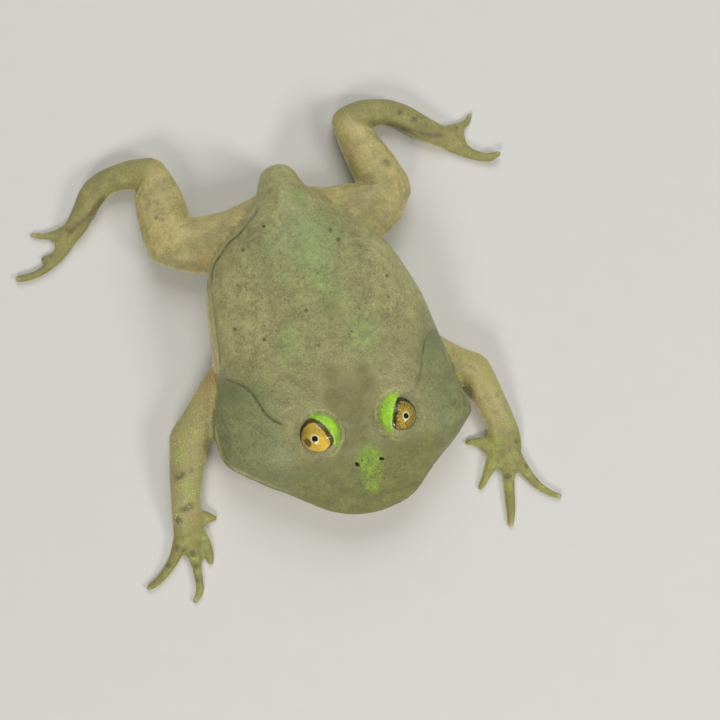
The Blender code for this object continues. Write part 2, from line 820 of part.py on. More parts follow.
def make_ball(name, centre, radius):
    """Sphere from its middle and radius."""
    shape = bmesh.new()
    bmesh.ops.create_uvsphere(
        shape, u_segments=EYE_SEGMENTS, v_segments=EYE_RINGS, radius=radius
    )
    bmesh.ops.translate(shape, verts=shape.verts, vec=centre)
    return make_object(name, shape)


def make_orbit(name, side):
    """Bulge round one eye: a dome that flares into the head."""
    centre = eye_centre(side)
    profile = []
    for angle in ORBIT_ANGLES:
        turn = math.radians(angle)
        profile.append((ORBIT_RADIUS * math.cos(turn), ORBIT_RADIUS * math.sin(turn)))
    profile.extend(ORBIT_SKIRT)
    rings = []
    for radius, rise in profile:
        ring = []
        for corner in range(ORBIT_SIDES):
            angle = 2.0 * math.pi * corner / ORBIT_SIDES
            ring.append(
                centre + Vector((radius * math.cos(angle), radius * math.sin(angle), rise))
            )
        rings.append(ring)
    return loft(name, rings)


def make_eye_opening(name, side, lid_angle):
    """Room in front of the eye: past the plane of the lower lid and past that of the upper lid."""
    axis = eye_axis(side)
    centre = eye_centre(side)
    item = make_ball(name, centre, OPENING_REACH)
    bisect(item, centre + axis * EYE_RADIUS * math.cos(EYE_OPENING), -axis)
    lid = Vector((side * math.cos(lid_angle), 0.0, math.sin(lid_angle)))
    bisect(item, centre, -lid)
    return item


def surface_normal(x, y):
    """Upward normal of the trunk over a point."""
    reach = LIP_RADIUS
    along_x = crown_height(x + reach, y) - crown_height(x - reach, y)
    along_y = crown_height(x, y + reach) - crown_height(x, y - reach)
    return Vector((-along_x, -along_y, 2.0 * reach)).normalized()


def make_nostril(name, side, radius_low, radius_top, depth, proud):
    """Short tube or rim that stands on the snout, square to its surface."""
    turn = Matrix.Rotation(HEAD_TURN, 4, "Z")
    place = NOSTRIL_MIDDLE + turn @ Vector((0.5 * side * NOSTRIL_SPACING, 0.0, 0.0))
    normal = surface_normal(place.x, place.y)
    surface = Vector((place.x, place.y, crown_height(place.x, place.y)))
    shape = bmesh.new()
    bmesh.ops.create_cone(
        shape,
        cap_ends=True,
        segments=NOSTRIL_SEGMENTS,
        radius1=radius_low,
        radius2=radius_top,
        depth=depth,
    )
    turned = normal.to_track_quat("Z", "Y").to_matrix().to_4x4()
    middle = surface + normal * (proud - 0.5 * depth)
    bmesh.ops.transform(shape, matrix=Matrix.Translation(middle) @ turned, verts=shape.verts)
    return make_object(name, shape)


def make_web(name, outline):
    """Thin plate of skin between the toes."""
    shape = bmesh.new()
    base = shape.faces.new([shape.verts.new((x, y, WEB_LOW)) for x, y in outline])
    grown = bmesh.ops.extrude_face_region(shape, geom=[base])
    moved = [part for part in grown["geom"] if isinstance(part, bmesh.types.BMVert)]
    bmesh.ops.translate(shape, verts=moved, vec=(0.0, 0.0, WEB_HIGH - WEB_LOW))
    bmesh.ops.triangulate(shape, faces=[face for face in shape.faces if len(face.verts) > 4])
    bmesh.ops.recalc_face_normals(shape, faces=shape.faces)
    return make_object(name, shape)


def make_spade(name, place, turn, grow=0.0):
    """Hard bevelled edge, like half a fingernail; grown, it is the seat in the foot."""
    shape = bmesh.new()
    bmesh.ops.create_cube(shape, size=1.0)
    size = Vector((SPADE_LENGTH, SPADE_THICKNESS, SPADE_HEIGHT)) + Vector.Fill(3, 2.0 * grow)
    bmesh.ops.scale(shape, verts=shape.verts, vec=size)
    bmesh.ops.bevel(
        shape,
        geom=list(shape.edges),
        offset=SPADE_BEVEL,
        segments=SPADE_BEVEL_STEPS,
        profile=0.5,
        affect="EDGES",
        material=-1,
    )
    matrix = Matrix.Translation(place) @ Matrix.Rotation(turn, 4, "Z")
    bmesh.ops.transform(shape, matrix=matrix, verts=shape.verts)
    return make_object(name, shape)


def build_trunk():
    """Torso, head and lower jaw from one loft."""
    normal = Matrix.Rotation(NECK_TURN, 4, "Z") @ Vector((0.0, 1.0, 0.0))
    torso = make_trunk("torso")
    front = make_trunk("head")
    bisect(torso, NECK_PLACE + normal * HALF_GAP, -normal)
    bisect(front, NECK_PLACE - normal * HALF_GAP, normal)
    lips = [make_lip("upper_lip", LIP_RISE), make_lip("lower_lip", -LIP_RISE)]
    orbits = [make_orbit("orbit", side) for side in (RIGHT, LEFT)]
    rims = [
        make_nostril(
            "rim", side, NOSTRIL_RIM_RADIUS, NOSTRIL_RIM_TOP, NOSTRIL_RIM_HEIGHT, NOSTRIL_RIM_PROUD
        )
        for side in (RIGHT, LEFT)
    ]
    head = union("head", [front, *lips, *orbits, *rims])
    jaw = copy_object(head, "lower_jaw")
    boolean(jaw, [make_mouth_block("jaw_room", 0.0)], "INTERSECT")
    cutters = [make_mouth_block("mouth", GAP)]
    for side, lid_angle in ((RIGHT, LID_ANGLE_RIGHT), (LEFT, LID_ANGLE_LEFT)):
        cutters.append(make_eye_opening("eye_opening", side, lid_angle))
        cutters.append(make_ball("socket", eye_centre(side), EYE_RADIUS + GAP))
        cutters.append(
            make_nostril(
                "nostril", side, NOSTRIL_RADIUS, NOSTRIL_RADIUS, 2.0 * NOSTRIL_DEPTH, NOSTRIL_DEPTH
            )
        )
    boolean(head, cutters, "DIFFERENCE")
    return torso, head, jaw


def build_eyes():
    """Two eyeballs, each turned to look up and out."""
    eyes = []
    for name, side in (("eye_right", RIGHT), ("eye_left", LEFT)):
        shape = bmesh.new()
        bmesh.ops.create_uvsphere(
            shape, u_segments=EYE_SEGMENTS, v_segments=EYE_RINGS, radius=EYE_RADIUS
        )
        eye = make_object(name, shape)
        eye.location = eye_centre(side)
        eye.rotation_mode = "QUATERNION"
        eye.rotation_quaternion = eye_axis(side).to_track_quat("Z", "Y")
        eyes.append(eye)
    return eyes


def build_arm(side_name, upper_stations, forearm_stations, hand_stations, fingers):
    """Upper arm, forearm, hand and four fingers of one side."""
    upper = make_limb(f"upper_arm_{side_name}", upper_stations)
    forearm = make_limb(f"forearm_{side_name}", forearm_stations)
    hand = make_limb(f"hand_{side_name}", hand_stations)
    part_at_joint(upper, forearm, upper_stations, forearm_stations)
    part_at_joint(forearm, hand, forearm_stations, hand_stations)
    boolean(upper, [make_trunk("trunk_room", GAP)], "DIFFERENCE")
    boolean(forearm, [make_trunk("trunk_room", GAP)], "DIFFERENCE")
    parts = [upper, forearm, hand]
    earlier = []
    for digit, stations in fingers.items():
        finger = make_limb(f"finger_{digit}_{side_name}", stations, TOE_SIDES, TOE_STEP)
        rooms = [make_limb("hand_room", hand_stations, grow=GAP)]
        rooms.append(make_limb("wrist_room", forearm_stations, grow=GAP))
        for stations_before in earlier:
            rooms.append(make_limb("finger_room", stations_before, TOE_SIDES, TOE_STEP, GAP))
        boolean(finger, rooms, "DIFFERENCE")
        earlier.append(stations)
        parts.append(finger)
    return parts


def build_leg(side_name, thigh_stations, shank_stations, foot_stations, toes, web, spade):
    """Thigh, shank and webbed foot of one side, with a seat for the spade."""
    thigh = make_limb(f"thigh_{side_name}", thigh_stations)
    shank = make_limb(f"shank_{side_name}", shank_stations)
    foot = make_limb(f"foot_{side_name}", foot_stations, LIMB_SIDES, TOE_STEP)
    part_at_joint(thigh, shank, thigh_stations, shank_stations)
    part_at_joint(shank, foot, shank_stations, foot_stations)
    boolean(thigh, [make_trunk("trunk_room", GAP)], "DIFFERENCE")
    digits = [make_limb("toe", stations, TOE_SIDES, TOE_STEP) for stations in toes.values()]
    foot = union(f"foot_{side_name}", [foot, *digits, make_web("web", web)])
    boolean(foot, [make_spade("spade_room", *spade, GAP)], "DIFFERENCE")
    return [thigh, shank, foot]


def dress(items, material):
    """Give each object its material and smooth shading with crisp cut edges."""
    for item in items:
        item.data.materials.clear()
        item.data.materials.append(material)
        item.data.shade_smooth()
        item.data.set_sharp_from_angle(angle=SHARP_ANGLE)


def main():
    """Build the whole frog."""
    clear_scene()
    back = make_material("skin_back", SKIN_BACK, SKIN_ROUGHNESS)
    limb = make_material("skin_limb", SKIN_LIMB, SKIN_ROUGHNESS)
    throat = make_material("skin_jaw", SKIN_JAW, SKIN_ROUGHNESS)
    gold = make_material("eye_gold", EYE_GOLD, EYE_ROUGHNESS)
    black = make_material("spade_black", SPADE_BLACK, SPADE_ROUGHNESS)
    torso, head, jaw = build_trunk()
    dress([torso, head], back)
    dress([jaw], throat)
    dress(build_eyes(), gold)
    dress(build_arm("right", UPPER_ARM_RIGHT, FOREARM_RIGHT, HAND_RIGHT, FINGERS_RIGHT), limb)
    dress(build_arm("left", UPPER_ARM_LEFT, FOREARM_LEFT, HAND_LEFT, FINGERS_LEFT), limb)
    spade_right = (SPADE_RIGHT, SPADE_TURN_RIGHT)
    spade_left = (SPADE_LEFT, SPADE_TURN_LEFT)
    leg_right = (THIGH_RIGHT, SHANK_RIGHT, FOOT_RIGHT, TOES_RIGHT, WEB_RIGHT, spade_right)
    leg_left = (THIGH_LEFT, SHANK_LEFT, FOOT_LEFT, TOES_LEFT, WEB_LEFT, spade_left)
    dress(build_leg("right", *leg_right), limb)
    dress(build_leg("left", *leg_left), limb)
    dress([make_spade("spade_right", *spade_right)], black)
    dress([make_spade("spade_left", *spade_left)], black)


main()
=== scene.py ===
"""Budgetts frog: the moist skin, eyes and studio of the still model, built round its solids."""

import logging
import math
from collections.abc import Callable, Mapping, Sequence
from dataclasses import dataclass, field
from enum import Enum

import bmesh
import bpy
import numpy as np
from mathutils import Matrix, Vector
from mathutils.bvhtree import BVHTree


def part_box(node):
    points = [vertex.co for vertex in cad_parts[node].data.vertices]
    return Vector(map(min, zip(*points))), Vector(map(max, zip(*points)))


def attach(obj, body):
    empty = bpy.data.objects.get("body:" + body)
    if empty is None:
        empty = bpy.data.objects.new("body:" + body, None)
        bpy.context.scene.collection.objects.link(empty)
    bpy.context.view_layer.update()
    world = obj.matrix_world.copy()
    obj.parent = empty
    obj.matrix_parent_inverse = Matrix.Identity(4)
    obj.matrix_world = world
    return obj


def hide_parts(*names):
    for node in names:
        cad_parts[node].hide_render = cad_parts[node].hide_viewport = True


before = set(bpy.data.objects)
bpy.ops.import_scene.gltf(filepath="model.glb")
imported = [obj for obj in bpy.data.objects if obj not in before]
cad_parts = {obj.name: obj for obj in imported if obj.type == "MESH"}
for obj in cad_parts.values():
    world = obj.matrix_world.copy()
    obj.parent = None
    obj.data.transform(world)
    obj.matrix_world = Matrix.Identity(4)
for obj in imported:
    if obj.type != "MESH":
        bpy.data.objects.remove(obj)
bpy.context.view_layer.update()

LOG = logging.getLogger("frog")
BODY = "root"
METRES_TO_MILLIMETRES = 1000.0
MERGE_DISTANCE = 0.000002

FLESH = tuple(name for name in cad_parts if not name.startswith(("eye", "spade")))
TRUNK = ("torso", "head", "lower_jaw")
JAWS = ("head", "lower_jaw")
DIGITS = ("i", "ii", "iii", "iv")


class Side(Enum):
    """Frog's own right or left, as the sign of x."""

    RIGHT = -1.0
    LEFT = 1.0

    @property
    def word(self) -> str:
        """Ending of the names of this side's nodes."""
        return self.name.lower()


def mm(*values: float) -> tuple[float, ...]:
    """Millimetres as metres."""
    return tuple(value * 0.001 for value in values)


def mm_rows(*rows: tuple[float, ...]) -> tuple[tuple[float, ...], ...]:
    """Rows of millimetres as rows of metres."""
    return tuple(mm(*row) for row in rows)


def srgb(red: int, green: int, blue: int) -> tuple[float, float, float, float]:
    """Linear colour from screen values between 0 and 255."""

    def linear(value: int) -> float:
        """One channel."""
        share = value / 255.0
        return share / 12.92 if share <= 0.04045 else ((share + 0.055) / 1.055) ** 2.4

    return (linear(red), linear(green), linear(blue), 1.0)


def ease(values: np.ndarray, low: float, high: float) -> np.ndarray:
    """Smooth step from 0 at low to 1 at high.

    Args:
        values: Numbers to place on the step.
        low: Value that gives 0.
        high: Value that gives 1.

    Returns:
        Shares between 0 and 1.
    """
    share = np.clip((values - low) / (high - low), 0.0, 1.0)
    return share * share * (3.0 - 2.0 * share)


def bell(distance: np.ndarray, width: float) -> np.ndarray:
    """Bell curve, 1 at distance 0."""
    return np.exp(-((distance / width) ** 2))


def limb_nodes(side: Side) -> dict[str, tuple[str, ...]]:
    """Names of one side's solids by region."""
    word = side.word
    return {
        "arm": (f"upper_arm_{word}", f"forearm_{word}"),
        "hand": (f"hand_{word}", *(f"finger_{digit}_{word}" for digit in DIGITS)),
        "leg": (f"thigh_{word}", f"shank_{word}"),
        "foot": (f"foot_{word}",),
    }


def solids(names: Sequence[str]) -> bmesh.types.BMesh:
    """Some of the solids in one bmesh."""
    shape = bmesh.new()
    for name in names:
        shape.from_mesh(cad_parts[name].data)
    return shape


def relax(shape: bmesh.types.BMesh, verts: Sequence[bmesh.types.BMVert], times: int) -> None:
    """Move points half way to the middle of their neighbours, several times."""
    axes = {f"use_axis_{axis}": True for axis in "xyz"}
    for _ in range(times):
        bmesh.ops.smooth_vert(shape, verts=verts, factor=0.5, **axes)


def link(name: str, data: bpy.types.ID) -> bpy.types.Object:
    """New object in the scene."""
    item = bpy.data.objects.new(name, data)
    bpy.context.scene.collection.objects.link(item)
    return item


def make_piece(name: str, shape: bmesh.types.BMesh) -> bpy.types.Object:
    """Turn a bmesh into a smooth-shaded object at the origin, and free the bmesh.

    Args:
        name: Name of the piece.
        shape: Finished bmesh, in the frog's own place.

    Returns:
        The new object, linked to the scene.
    """
    mesh = bpy.data.meshes.new(name)
    shape.to_mesh(mesh)
    shape.free()
    mesh.shade_smooth()
    return link(name, mesh)


def settle(piece: bpy.types.Object, slot: str, *nodes: str) -> None:
    """Let a piece ride with the frog and stand for its solids.

    Args:
        piece: Finished piece.
        slot: Not used.
        *nodes: Solids that the piece replaces.
    """
    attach(piece, BODY)
    if nodes:
        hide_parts(*nodes)


def math_method(operation: str, flipped: bool = False) -> Callable[..., "Signal"]:
    """Make a method of Signal that adds one Math node.

    Args:
        operation: Blender's name of the operation.
        flipped: Whether the other value comes first.

    Returns:
        The method.
    """

    def method(self: "Signal", other: "Signal | float" = 0.0) -> "Signal":
        """Value of the new node."""
        values = (other, self) if flipped else (self, other)
        return self.board.add("ShaderNodeMath", {"operation": operation}, dict(enumerate(values)))

    return method


class Signal:
    """One socket of a material, with arithmetic that adds Math nodes."""

    def __init__(self, board: "Board", socket: bpy.types.NodeSocket) -> None:
        """Keep the socket and the board that it belongs to."""
        self.board = board
        self.socket = socket

    __add__ = __radd__ = math_method("ADD")
    __sub__ = math_method("SUBTRACT")
    __rsub__ = math_method("SUBTRACT", flipped=True)
    __mul__ = __rmul__ = math_method("MULTIPLY")
    __truediv__ = math_method("DIVIDE")
    __pow__ = math_method("POWER")
    size = math_method("ABSOLUTE")
    most = math_method("MAXIMUM")

    def swing(self, amount: float) -> "Signal":
        """Noise moved to swing round 0, times an amount."""
        return (self - 0.5) * amount

    def step(self, low: float, high: float) -> "Signal":
        """Smooth step from 0 at low to 1 at high, or down if low is the larger."""
        rising = low < high
        start, end = (low, high) if rising else (high, low)
        first, last = (0.0, 1.0) if rising else (1.0, 0.0)
        return self.board.add(
            "ShaderNodeMapRange",
            {"interpolation_type": "SMOOTHSTEP"},
            {"Value": self, "From Min": start, "From Max": end, "To Min": first, "To Max": last},
        )


class Board:
    """Node tree of one material."""

    def __init__(self, name: str) -> None:
        """Start a material with its Principled shader."""
        self.material = bpy.data.materials.new(name)
        self.material.use_nodes = True
        self.tree = self.material.node_tree
        self.shader = self.tree.nodes["Principled BSDF"]

    def add(
        self,
        kind: str,
        settings: Mapping[str, object] | None = None,
        inputs: Mapping[str | int, object] | None = None,
        output: str | int = 0,
    ) -> Signal:
        """Add any node.

        Args:
            kind: Blender's name of the node type.
            settings: Properties of the node, set first.
            inputs: Links or values by socket name or number.
            output: Socket to read.

        Returns:
            The chosen output.
        """
        node = self.tree.nodes.new(kind)
        for name, value in (settings or {}).items():
            setattr(node, name, value)
        for name, value in (inputs or {}).items():
            self.feed(node, name, value)
        return Signal(self, node.outputs[output])

    def feed(self, node: bpy.types.Node, name: str | int, value: object) -> None:
        """Link or set one socket of a node."""
        if isinstance(value, Signal):
            self.tree.links.new(value.socket, node.inputs[name])
        else:
            node.inputs[name].default_value = value

    def finish(self, **inputs: object) -> bpy.types.Material:
        """Feed the shader, with spaces in the names of sockets as underscores.

        Args:
            **inputs: Links or values for the shader's sockets.

        Returns:
            The material.
        """
        for name, value in inputs.items():
            self.feed(self.shader, name.replace("_", " "), value)
        return self.material

    def place(self) -> Signal:
        """Object coordinates in millimetres."""
        here = self.add("ShaderNodeTexCoord", output="Object")
        return self.stretch(here, (METRES_TO_MILLIMETRES,) * 3)

    def stretch(self, vector: Signal, scale: Sequence[float]) -> Signal:
        """Vector times a scale for each axis."""
        return self.add("ShaderNodeVectorMath", {"operation": "MULTIPLY"}, {0: vector, 1: scale})

    def noise(self, vector: Signal, scale: float, detail: float = 3.0, rough: float = 0.55) -> Signal:
        """Soft noise between 0 and 1."""
        return self.add(
            "ShaderNodeTexNoise",
            {"noise_dimensions": "3D"},
            {"Vector": vector, "Scale": scale, "Detail": detail, "Roughness": rough},
        )

    def cells(self, vector: Signal, scale: float, output: str = "Distance") -> Signal:
        """Distance to, or colour of, the nearest of scattered points."""
        return self.add(
            "ShaderNodeTexVoronoi", {"feature": "F1"}, {"Vector": vector, "Scale": scale}, output
        )

    def mask(self, name: str) -> Signal:
        """Value painted on the mesh's own points."""
        return self.add("ShaderNodeAttribute", {"attribute_name": name}, output="Fac")

    def mix(self, share: Signal | float, first: object, second: object) -> Signal:
        """Colour between two others."""
        return self.add("ShaderNodeMix", {"data_type": "RGBA"}, {0: share, 6: first, 7: second}, 2)

    def tint(self, colour: Signal, factor: Signal) -> Signal:
        """Colour made lighter or darker by a factor."""
        settings = {"data_type": "RGBA", "blend_type": "MULTIPLY"}
        return self.add("ShaderNodeMix", settings, {0: 1.0, 6: colour, 7: factor}, 2)

    def bump(self, height: Signal, distance: float, strength: float) -> Signal:
        """Normal that follows a height."""
        return self.add(
            "ShaderNodeBump", inputs={"Height": height, "Distance": distance, "Strength": strength}
        )


class Surface:
    """Points and normals of a mesh as arrays, for moves and masks over the whole skin."""

    def __init__(self, mesh: bpy.types.Mesh) -> None:
        """Read the mesh."""
        self.mesh = mesh
        self.points = np.empty((0, 3))
        self.normals = np.empty((0, 3))
        self.read()

    def read(self) -> None:
        """Take points and normals from the mesh."""
        flat = np.empty(3 * len(self.mesh.vertices), np.float32)
        self.mesh.vertices.foreach_get("co", flat)
        self.points = flat.reshape(-1, 3).astype(float)
        self.mesh.vertex_normals.foreach_get("vector", flat)
        self.normals = flat.reshape(-1, 3).astype(float)

    def write(self) -> None:
        """Put the points back in the mesh and read its new normals."""
        self.mesh.vertices.foreach_set("co", self.points.astype(np.float32).ravel())
        self.mesh.update()
        self.read()

    def push(self, amount: np.ndarray) -> None:
        """Move each point along its normal."""
        self.points += self.normals * amount[:, None]
        self.write()

    def store(self, name: str, values: np.ndarray) -> None:
        """Keep one number for each point under a name that a material reads."""
        layer = self.mesh.attributes.new(name, "FLOAT", "POINT")
        layer.data.foreach_set("value", values.astype(np.float32))


@dataclass(frozen=True)
class Trail:
    """Line over the skin seen from above, rounded through a few points."""

    points: tuple[tuple[float, ...], ...]
    steps: int = 5

    def line(self) -> np.ndarray:
        """Points of the rounded line."""
        knots = np.array(self.points)
        padded = np.vstack((2.0 * knots[0] - knots[1], knots, 2.0 * knots[-1] - knots[-2]))
        filled = []
        for before, start, end, after in zip(padded, padded[1:], padded[2:], padded[3:]):
            for t in np.arange(self.steps) / self.steps:
                bend = (2.0 * before - 5.0 * start + 4.0 * end - after) * t * t
                swing = (3.0 * start - before - 3.0 * end + after) * t**3
                filled.append(0.5 * (2.0 * start + (end - before) * t + bend + swing))
        filled.append(knots[-1])
        return np.array(filled)

    def measure(self, places: np.ndarray) -> tuple[np.ndarray, np.ndarray]:
        """Where points lie beside the line.

        Args:
            places: Points seen from above, one row each.

        Returns:
            Distance to the line, positive on its left hand, and share of the way along it.
        """
        line = self.line()
        nearest = np.full(len(places), np.inf)
        signed = np.zeros(len(places))
        share = np.zeros(len(places))
        for index, (start, end) in enumerate(zip(line, line[1:])):
            run = end - start
            along = np.clip((places - start) @ run / (run @ run), 0.0, 1.0)
            gap = places - start - along[:, None] * run
            distance = np.hypot(gap[:, 0], gap[:, 1])
            nearer = distance < nearest
            nearest[nearer] = distance[nearer]
            side = np.sign(run[0] * gap[:, 1] - run[1] * gap[:, 0])
            signed[nearer] = (side * distance)[nearer]
            share[nearer] = ((index + along) / (len(line) - 1))[nearer]
        return signed, share


def trail(*rows: tuple[float, float]) -> Trail:
    """Line through points given in millimetres."""
    return Trail(mm_rows(*rows))


@dataclass(frozen=True)
class Fold:
    """Crease in the skin with a low roll beside it."""

    trail: Trail
    depth: float
    width: float
    rise: float = 0.0
    roll: float = 0.0012
    roll_side: float = 1.0
    # Strength of the shade painted in the crease.
    dark: float = 0.75
    taper: float = 0.15

    def fade(self, share: np.ndarray) -> np.ndarray:
        """Strength along the fold, 0 at both ends."""
        return ease(share, 0.0, self.taper) * ease(1.0 - share, 0.0, self.taper)

    def height(self, places: np.ndarray) -> np.ndarray:
        """Rise of the skin over each point."""
        signed, share = self.trail.measure(places)
        crease = -self.depth * bell(signed, self.width)
        roll = self.rise * bell(signed * self.roll_side - self.roll, 0.8 * self.roll)
        return (crease + roll) * self.fade(share)

    def shade(self, places: np.ndarray) -> np.ndarray:
        """Painted shade in the crease over each point."""
        signed, share = self.trail.measure(places)
        return self.dark * bell(signed, 1.1 * self.width) * self.fade(share)


@dataclass(frozen=True)
class Spot:
    """Round mark or bump on the skin."""

    x: float
    y: float
    radius: float
    strength: float = 1.0

    def cover(self, places: np.ndarray) -> np.ndarray:
        """Strength of the mark over each point."""
        gap = np.hypot(places[:, 0] - self.x, places[:, 1] - self.y)
        return self.strength * bell(gap, self.radius)


def spots(*rows: tuple[float, ...]) -> tuple[Spot, ...]:
    """Marks from rows of x, y and radius in millimetres, and a strength where it isn't 1."""
    return tuple(Spot(*mm(*row[:3]), *row[3:]) for row in rows)


@dataclass(frozen=True)
class Lids:
    """Place, look and lids of one eye, taken from its solid."""

    side: Side
    centre: Vector
    radius: float
    axis: Vector
    gap_axis: Vector
    upper: Vector
    opening: float = math.radians(65.0)
    corner: float = math.radians(8.0)
    upper_width: float = 0.0030
    lower_width: float = 0.0013
    proud: float = 0.00006
    tuck: float = 0.0014
    tuck_width: float = 0.0013
    green_radius: float = 0.00460
    green_shift: tuple[float, float] = mm(-0.48, -0.08)
    green_heading: float = math.radians(27.0)
    green_span: float = math.radians(92.0)
    green_taper: float = 0.0005

    def directions(self, points: np.ndarray) -> tuple[np.ndarray, np.ndarray]:
        """Distance and direction of points from the eye's middle."""
        gap = points - np.array(self.centre)
        distance = np.linalg.norm(gap, axis=1)
        return distance, gap / np.maximum(distance, MERGE_DISTANCE)[:, None]

    def inside(self, toward: np.ndarray) -> tuple[np.ndarray, np.ndarray]:
        """How far directions lie inside the opening between the lids.

        Args:
            toward: Unit vectors from the eye's middle.

        Returns:
            Depth inside the opening, in metres on the eyeball, and the share of the upper lid.
        """
        low = self.opening - np.arccos(np.clip(toward @ np.array(self.gap_axis), -1.0, 1.0))
        high = np.arcsin(np.clip(toward @ np.array(self.upper), -1.0, 1.0))
        blend = np.clip(0.5 + 0.5 * (low - high) / self.corner, 0.0, 1.0)
        rounding = self.corner * blend * (1.0 - blend)
        return (high * blend + low * (1.0 - blend) - rounding) * self.radius, blend

    def green(self, points: np.ndarray) -> tuple[np.ndarray, np.ndarray]:
        """Green of the upper lid, seen from above.

        Args:
            points: Points of the skin.

        Returns:
            Depth inside the green's round border, and turn along the lid: -1 at its front end and
            1 at its hind end.
        """
        gap = points - np.array(self.centre)
        inward, along = -self.side.value * gap[:, 0], gap[:, 1]
        shift_in, shift_along = self.green_shift
        depth = self.green_radius - np.hypot(inward - shift_in, along - shift_along)
        turn = (np.arctan2(along, inward) - self.green_heading) / self.green_span
        return depth - self.green_taper * ease(turn, 0.6, 1.0), turn

    def turn(self) -> Matrix:
        """The eye's own axes: z looks out, x points to the upper lid."""
        inward = Vector((-self.side.value, 0.45, 0.0))
        x_axis = (inward - self.axis * inward.dot(self.axis)).normalized()
        y_axis = self.axis.cross(x_axis)
        return Matrix((x_axis, y_axis, self.axis)).transposed()


def heading(side: Side, tilt: float, forward: float) -> Vector:
    """Unit vector that leans out from straight up and turns forward, by angles in degrees."""
    lean, swing = math.radians(tilt), math.radians(forward)
    level = Vector((side.value * math.cos(swing), -math.sin(swing), 0.0))
    return level * math.sin(lean) + Vector((0.0, 0.0, math.cos(lean)))


def read_lids(side: Side) -> Lids:
    """Place of one eye from its solid, with the tilt that its lids have in the photograph."""
    low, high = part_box(f"eye_{side.word}")
    place = (side, (low + high) * 0.5, 0.5 * (high.z - low.z))
    if side is Side.RIGHT:
        axes = (heading(side, 24.0, 20.0), heading(side, 15.0, -16.0), heading(side, 62.7, 22.0))
        return Lids(*place, *axes)
    return Lids(
        *place,
        heading(side, 24.0, 12.0),
        heading(side, 25.0, -38.0),
        heading(side, 69.0, 22.0),
        green_radius=0.0049,
        green_shift=mm(-0.88, 0.28),
        green_heading=math.radians(28.0),
        green_span=math.radians(90.0),
    )


@dataclass(frozen=True)
class SkinColours:
    """Colours of the moist skin."""

    back: tuple = srgb(144, 140, 92)
    back_green: tuple = srgb(138, 152, 90)
    back_brown_and_fold_shade: tuple = srgb(106, 102, 56)
    # Lighter colour of the rear and sides of the back: painted light.
    rump_painted_light: tuple = srgb(164, 160, 106)
    snout: tuple = srgb(112, 116, 58)
    cheek: tuple = srgb(122, 128, 80)
    temple: tuple = srgb(98, 112, 72)
    limb: tuple = srgb(166, 156, 100)
    limb_gold: tuple = srgb(180, 166, 106)
    leaf: tuple = srgb(146, 152, 76)
    hand: tuple = srgb(146, 140, 76)
    foot: tuple = srgb(146, 140, 82)
    blotch: tuple = srgb(82, 82, 48)
    # Dark of the painted shade in folds, nostrils, pores and the mouth line.
    crease: tuple = srgb(52, 50, 34)
    # Pale granules of the limbs, partly painted glints on them.
    grain: tuple = srgb(226, 220, 158)
    lid: tuple = srgb(160, 212, 46)
    # Deeper green of the lid's border, also the painted shade at the lid's front end.
    lid_deep: tuple = srgb(118, 142, 40)
    lid_rim: tuple = srgb(196, 222, 118)
    halo: tuple = srgb(160, 162, 98)
    nose: tuple = srgb(134, 166, 44)
    flank: tuple = srgb(182, 170, 112)
    flush: tuple = srgb(172, 132, 70)
    # Cream underside, also laid up the sides as a painted pale rim of light along the outline.
    belly_and_rim_light: tuple = srgb(200, 192, 146)
    # Brownish-purple of the hind feet's folds: partly the skin's own colour, partly painted shade.
    brown_and_fold_shade: tuple = srgb(84, 66, 44)
    tip: tuple = srgb(176, 168, 122)


@dataclass(frozen=True)
class Layer:
    """Colour laid over the skin where a painted mask is strong, with an uneven edge."""

    mask: str
    colour: tuple | Signal
    low: float
    high: float
    rag: float
    strength: float = 1.0

    def over(self, board: Board, under: Signal | tuple, stir: Signal) -> Signal:
        """Lay the colour over another.

        Args:
            board: Material of the skin.
            under: Colour below.
            stir: Noise round 0 that breaks up the edge.

        Returns:
            The mixed colour.
        """
        ragged = board.mask(self.mask) * (stir * (2.0 * self.rag) + 1.0)
        return board.mix(ragged.step(self.low, self.high) * self.strength, under, self.colour)


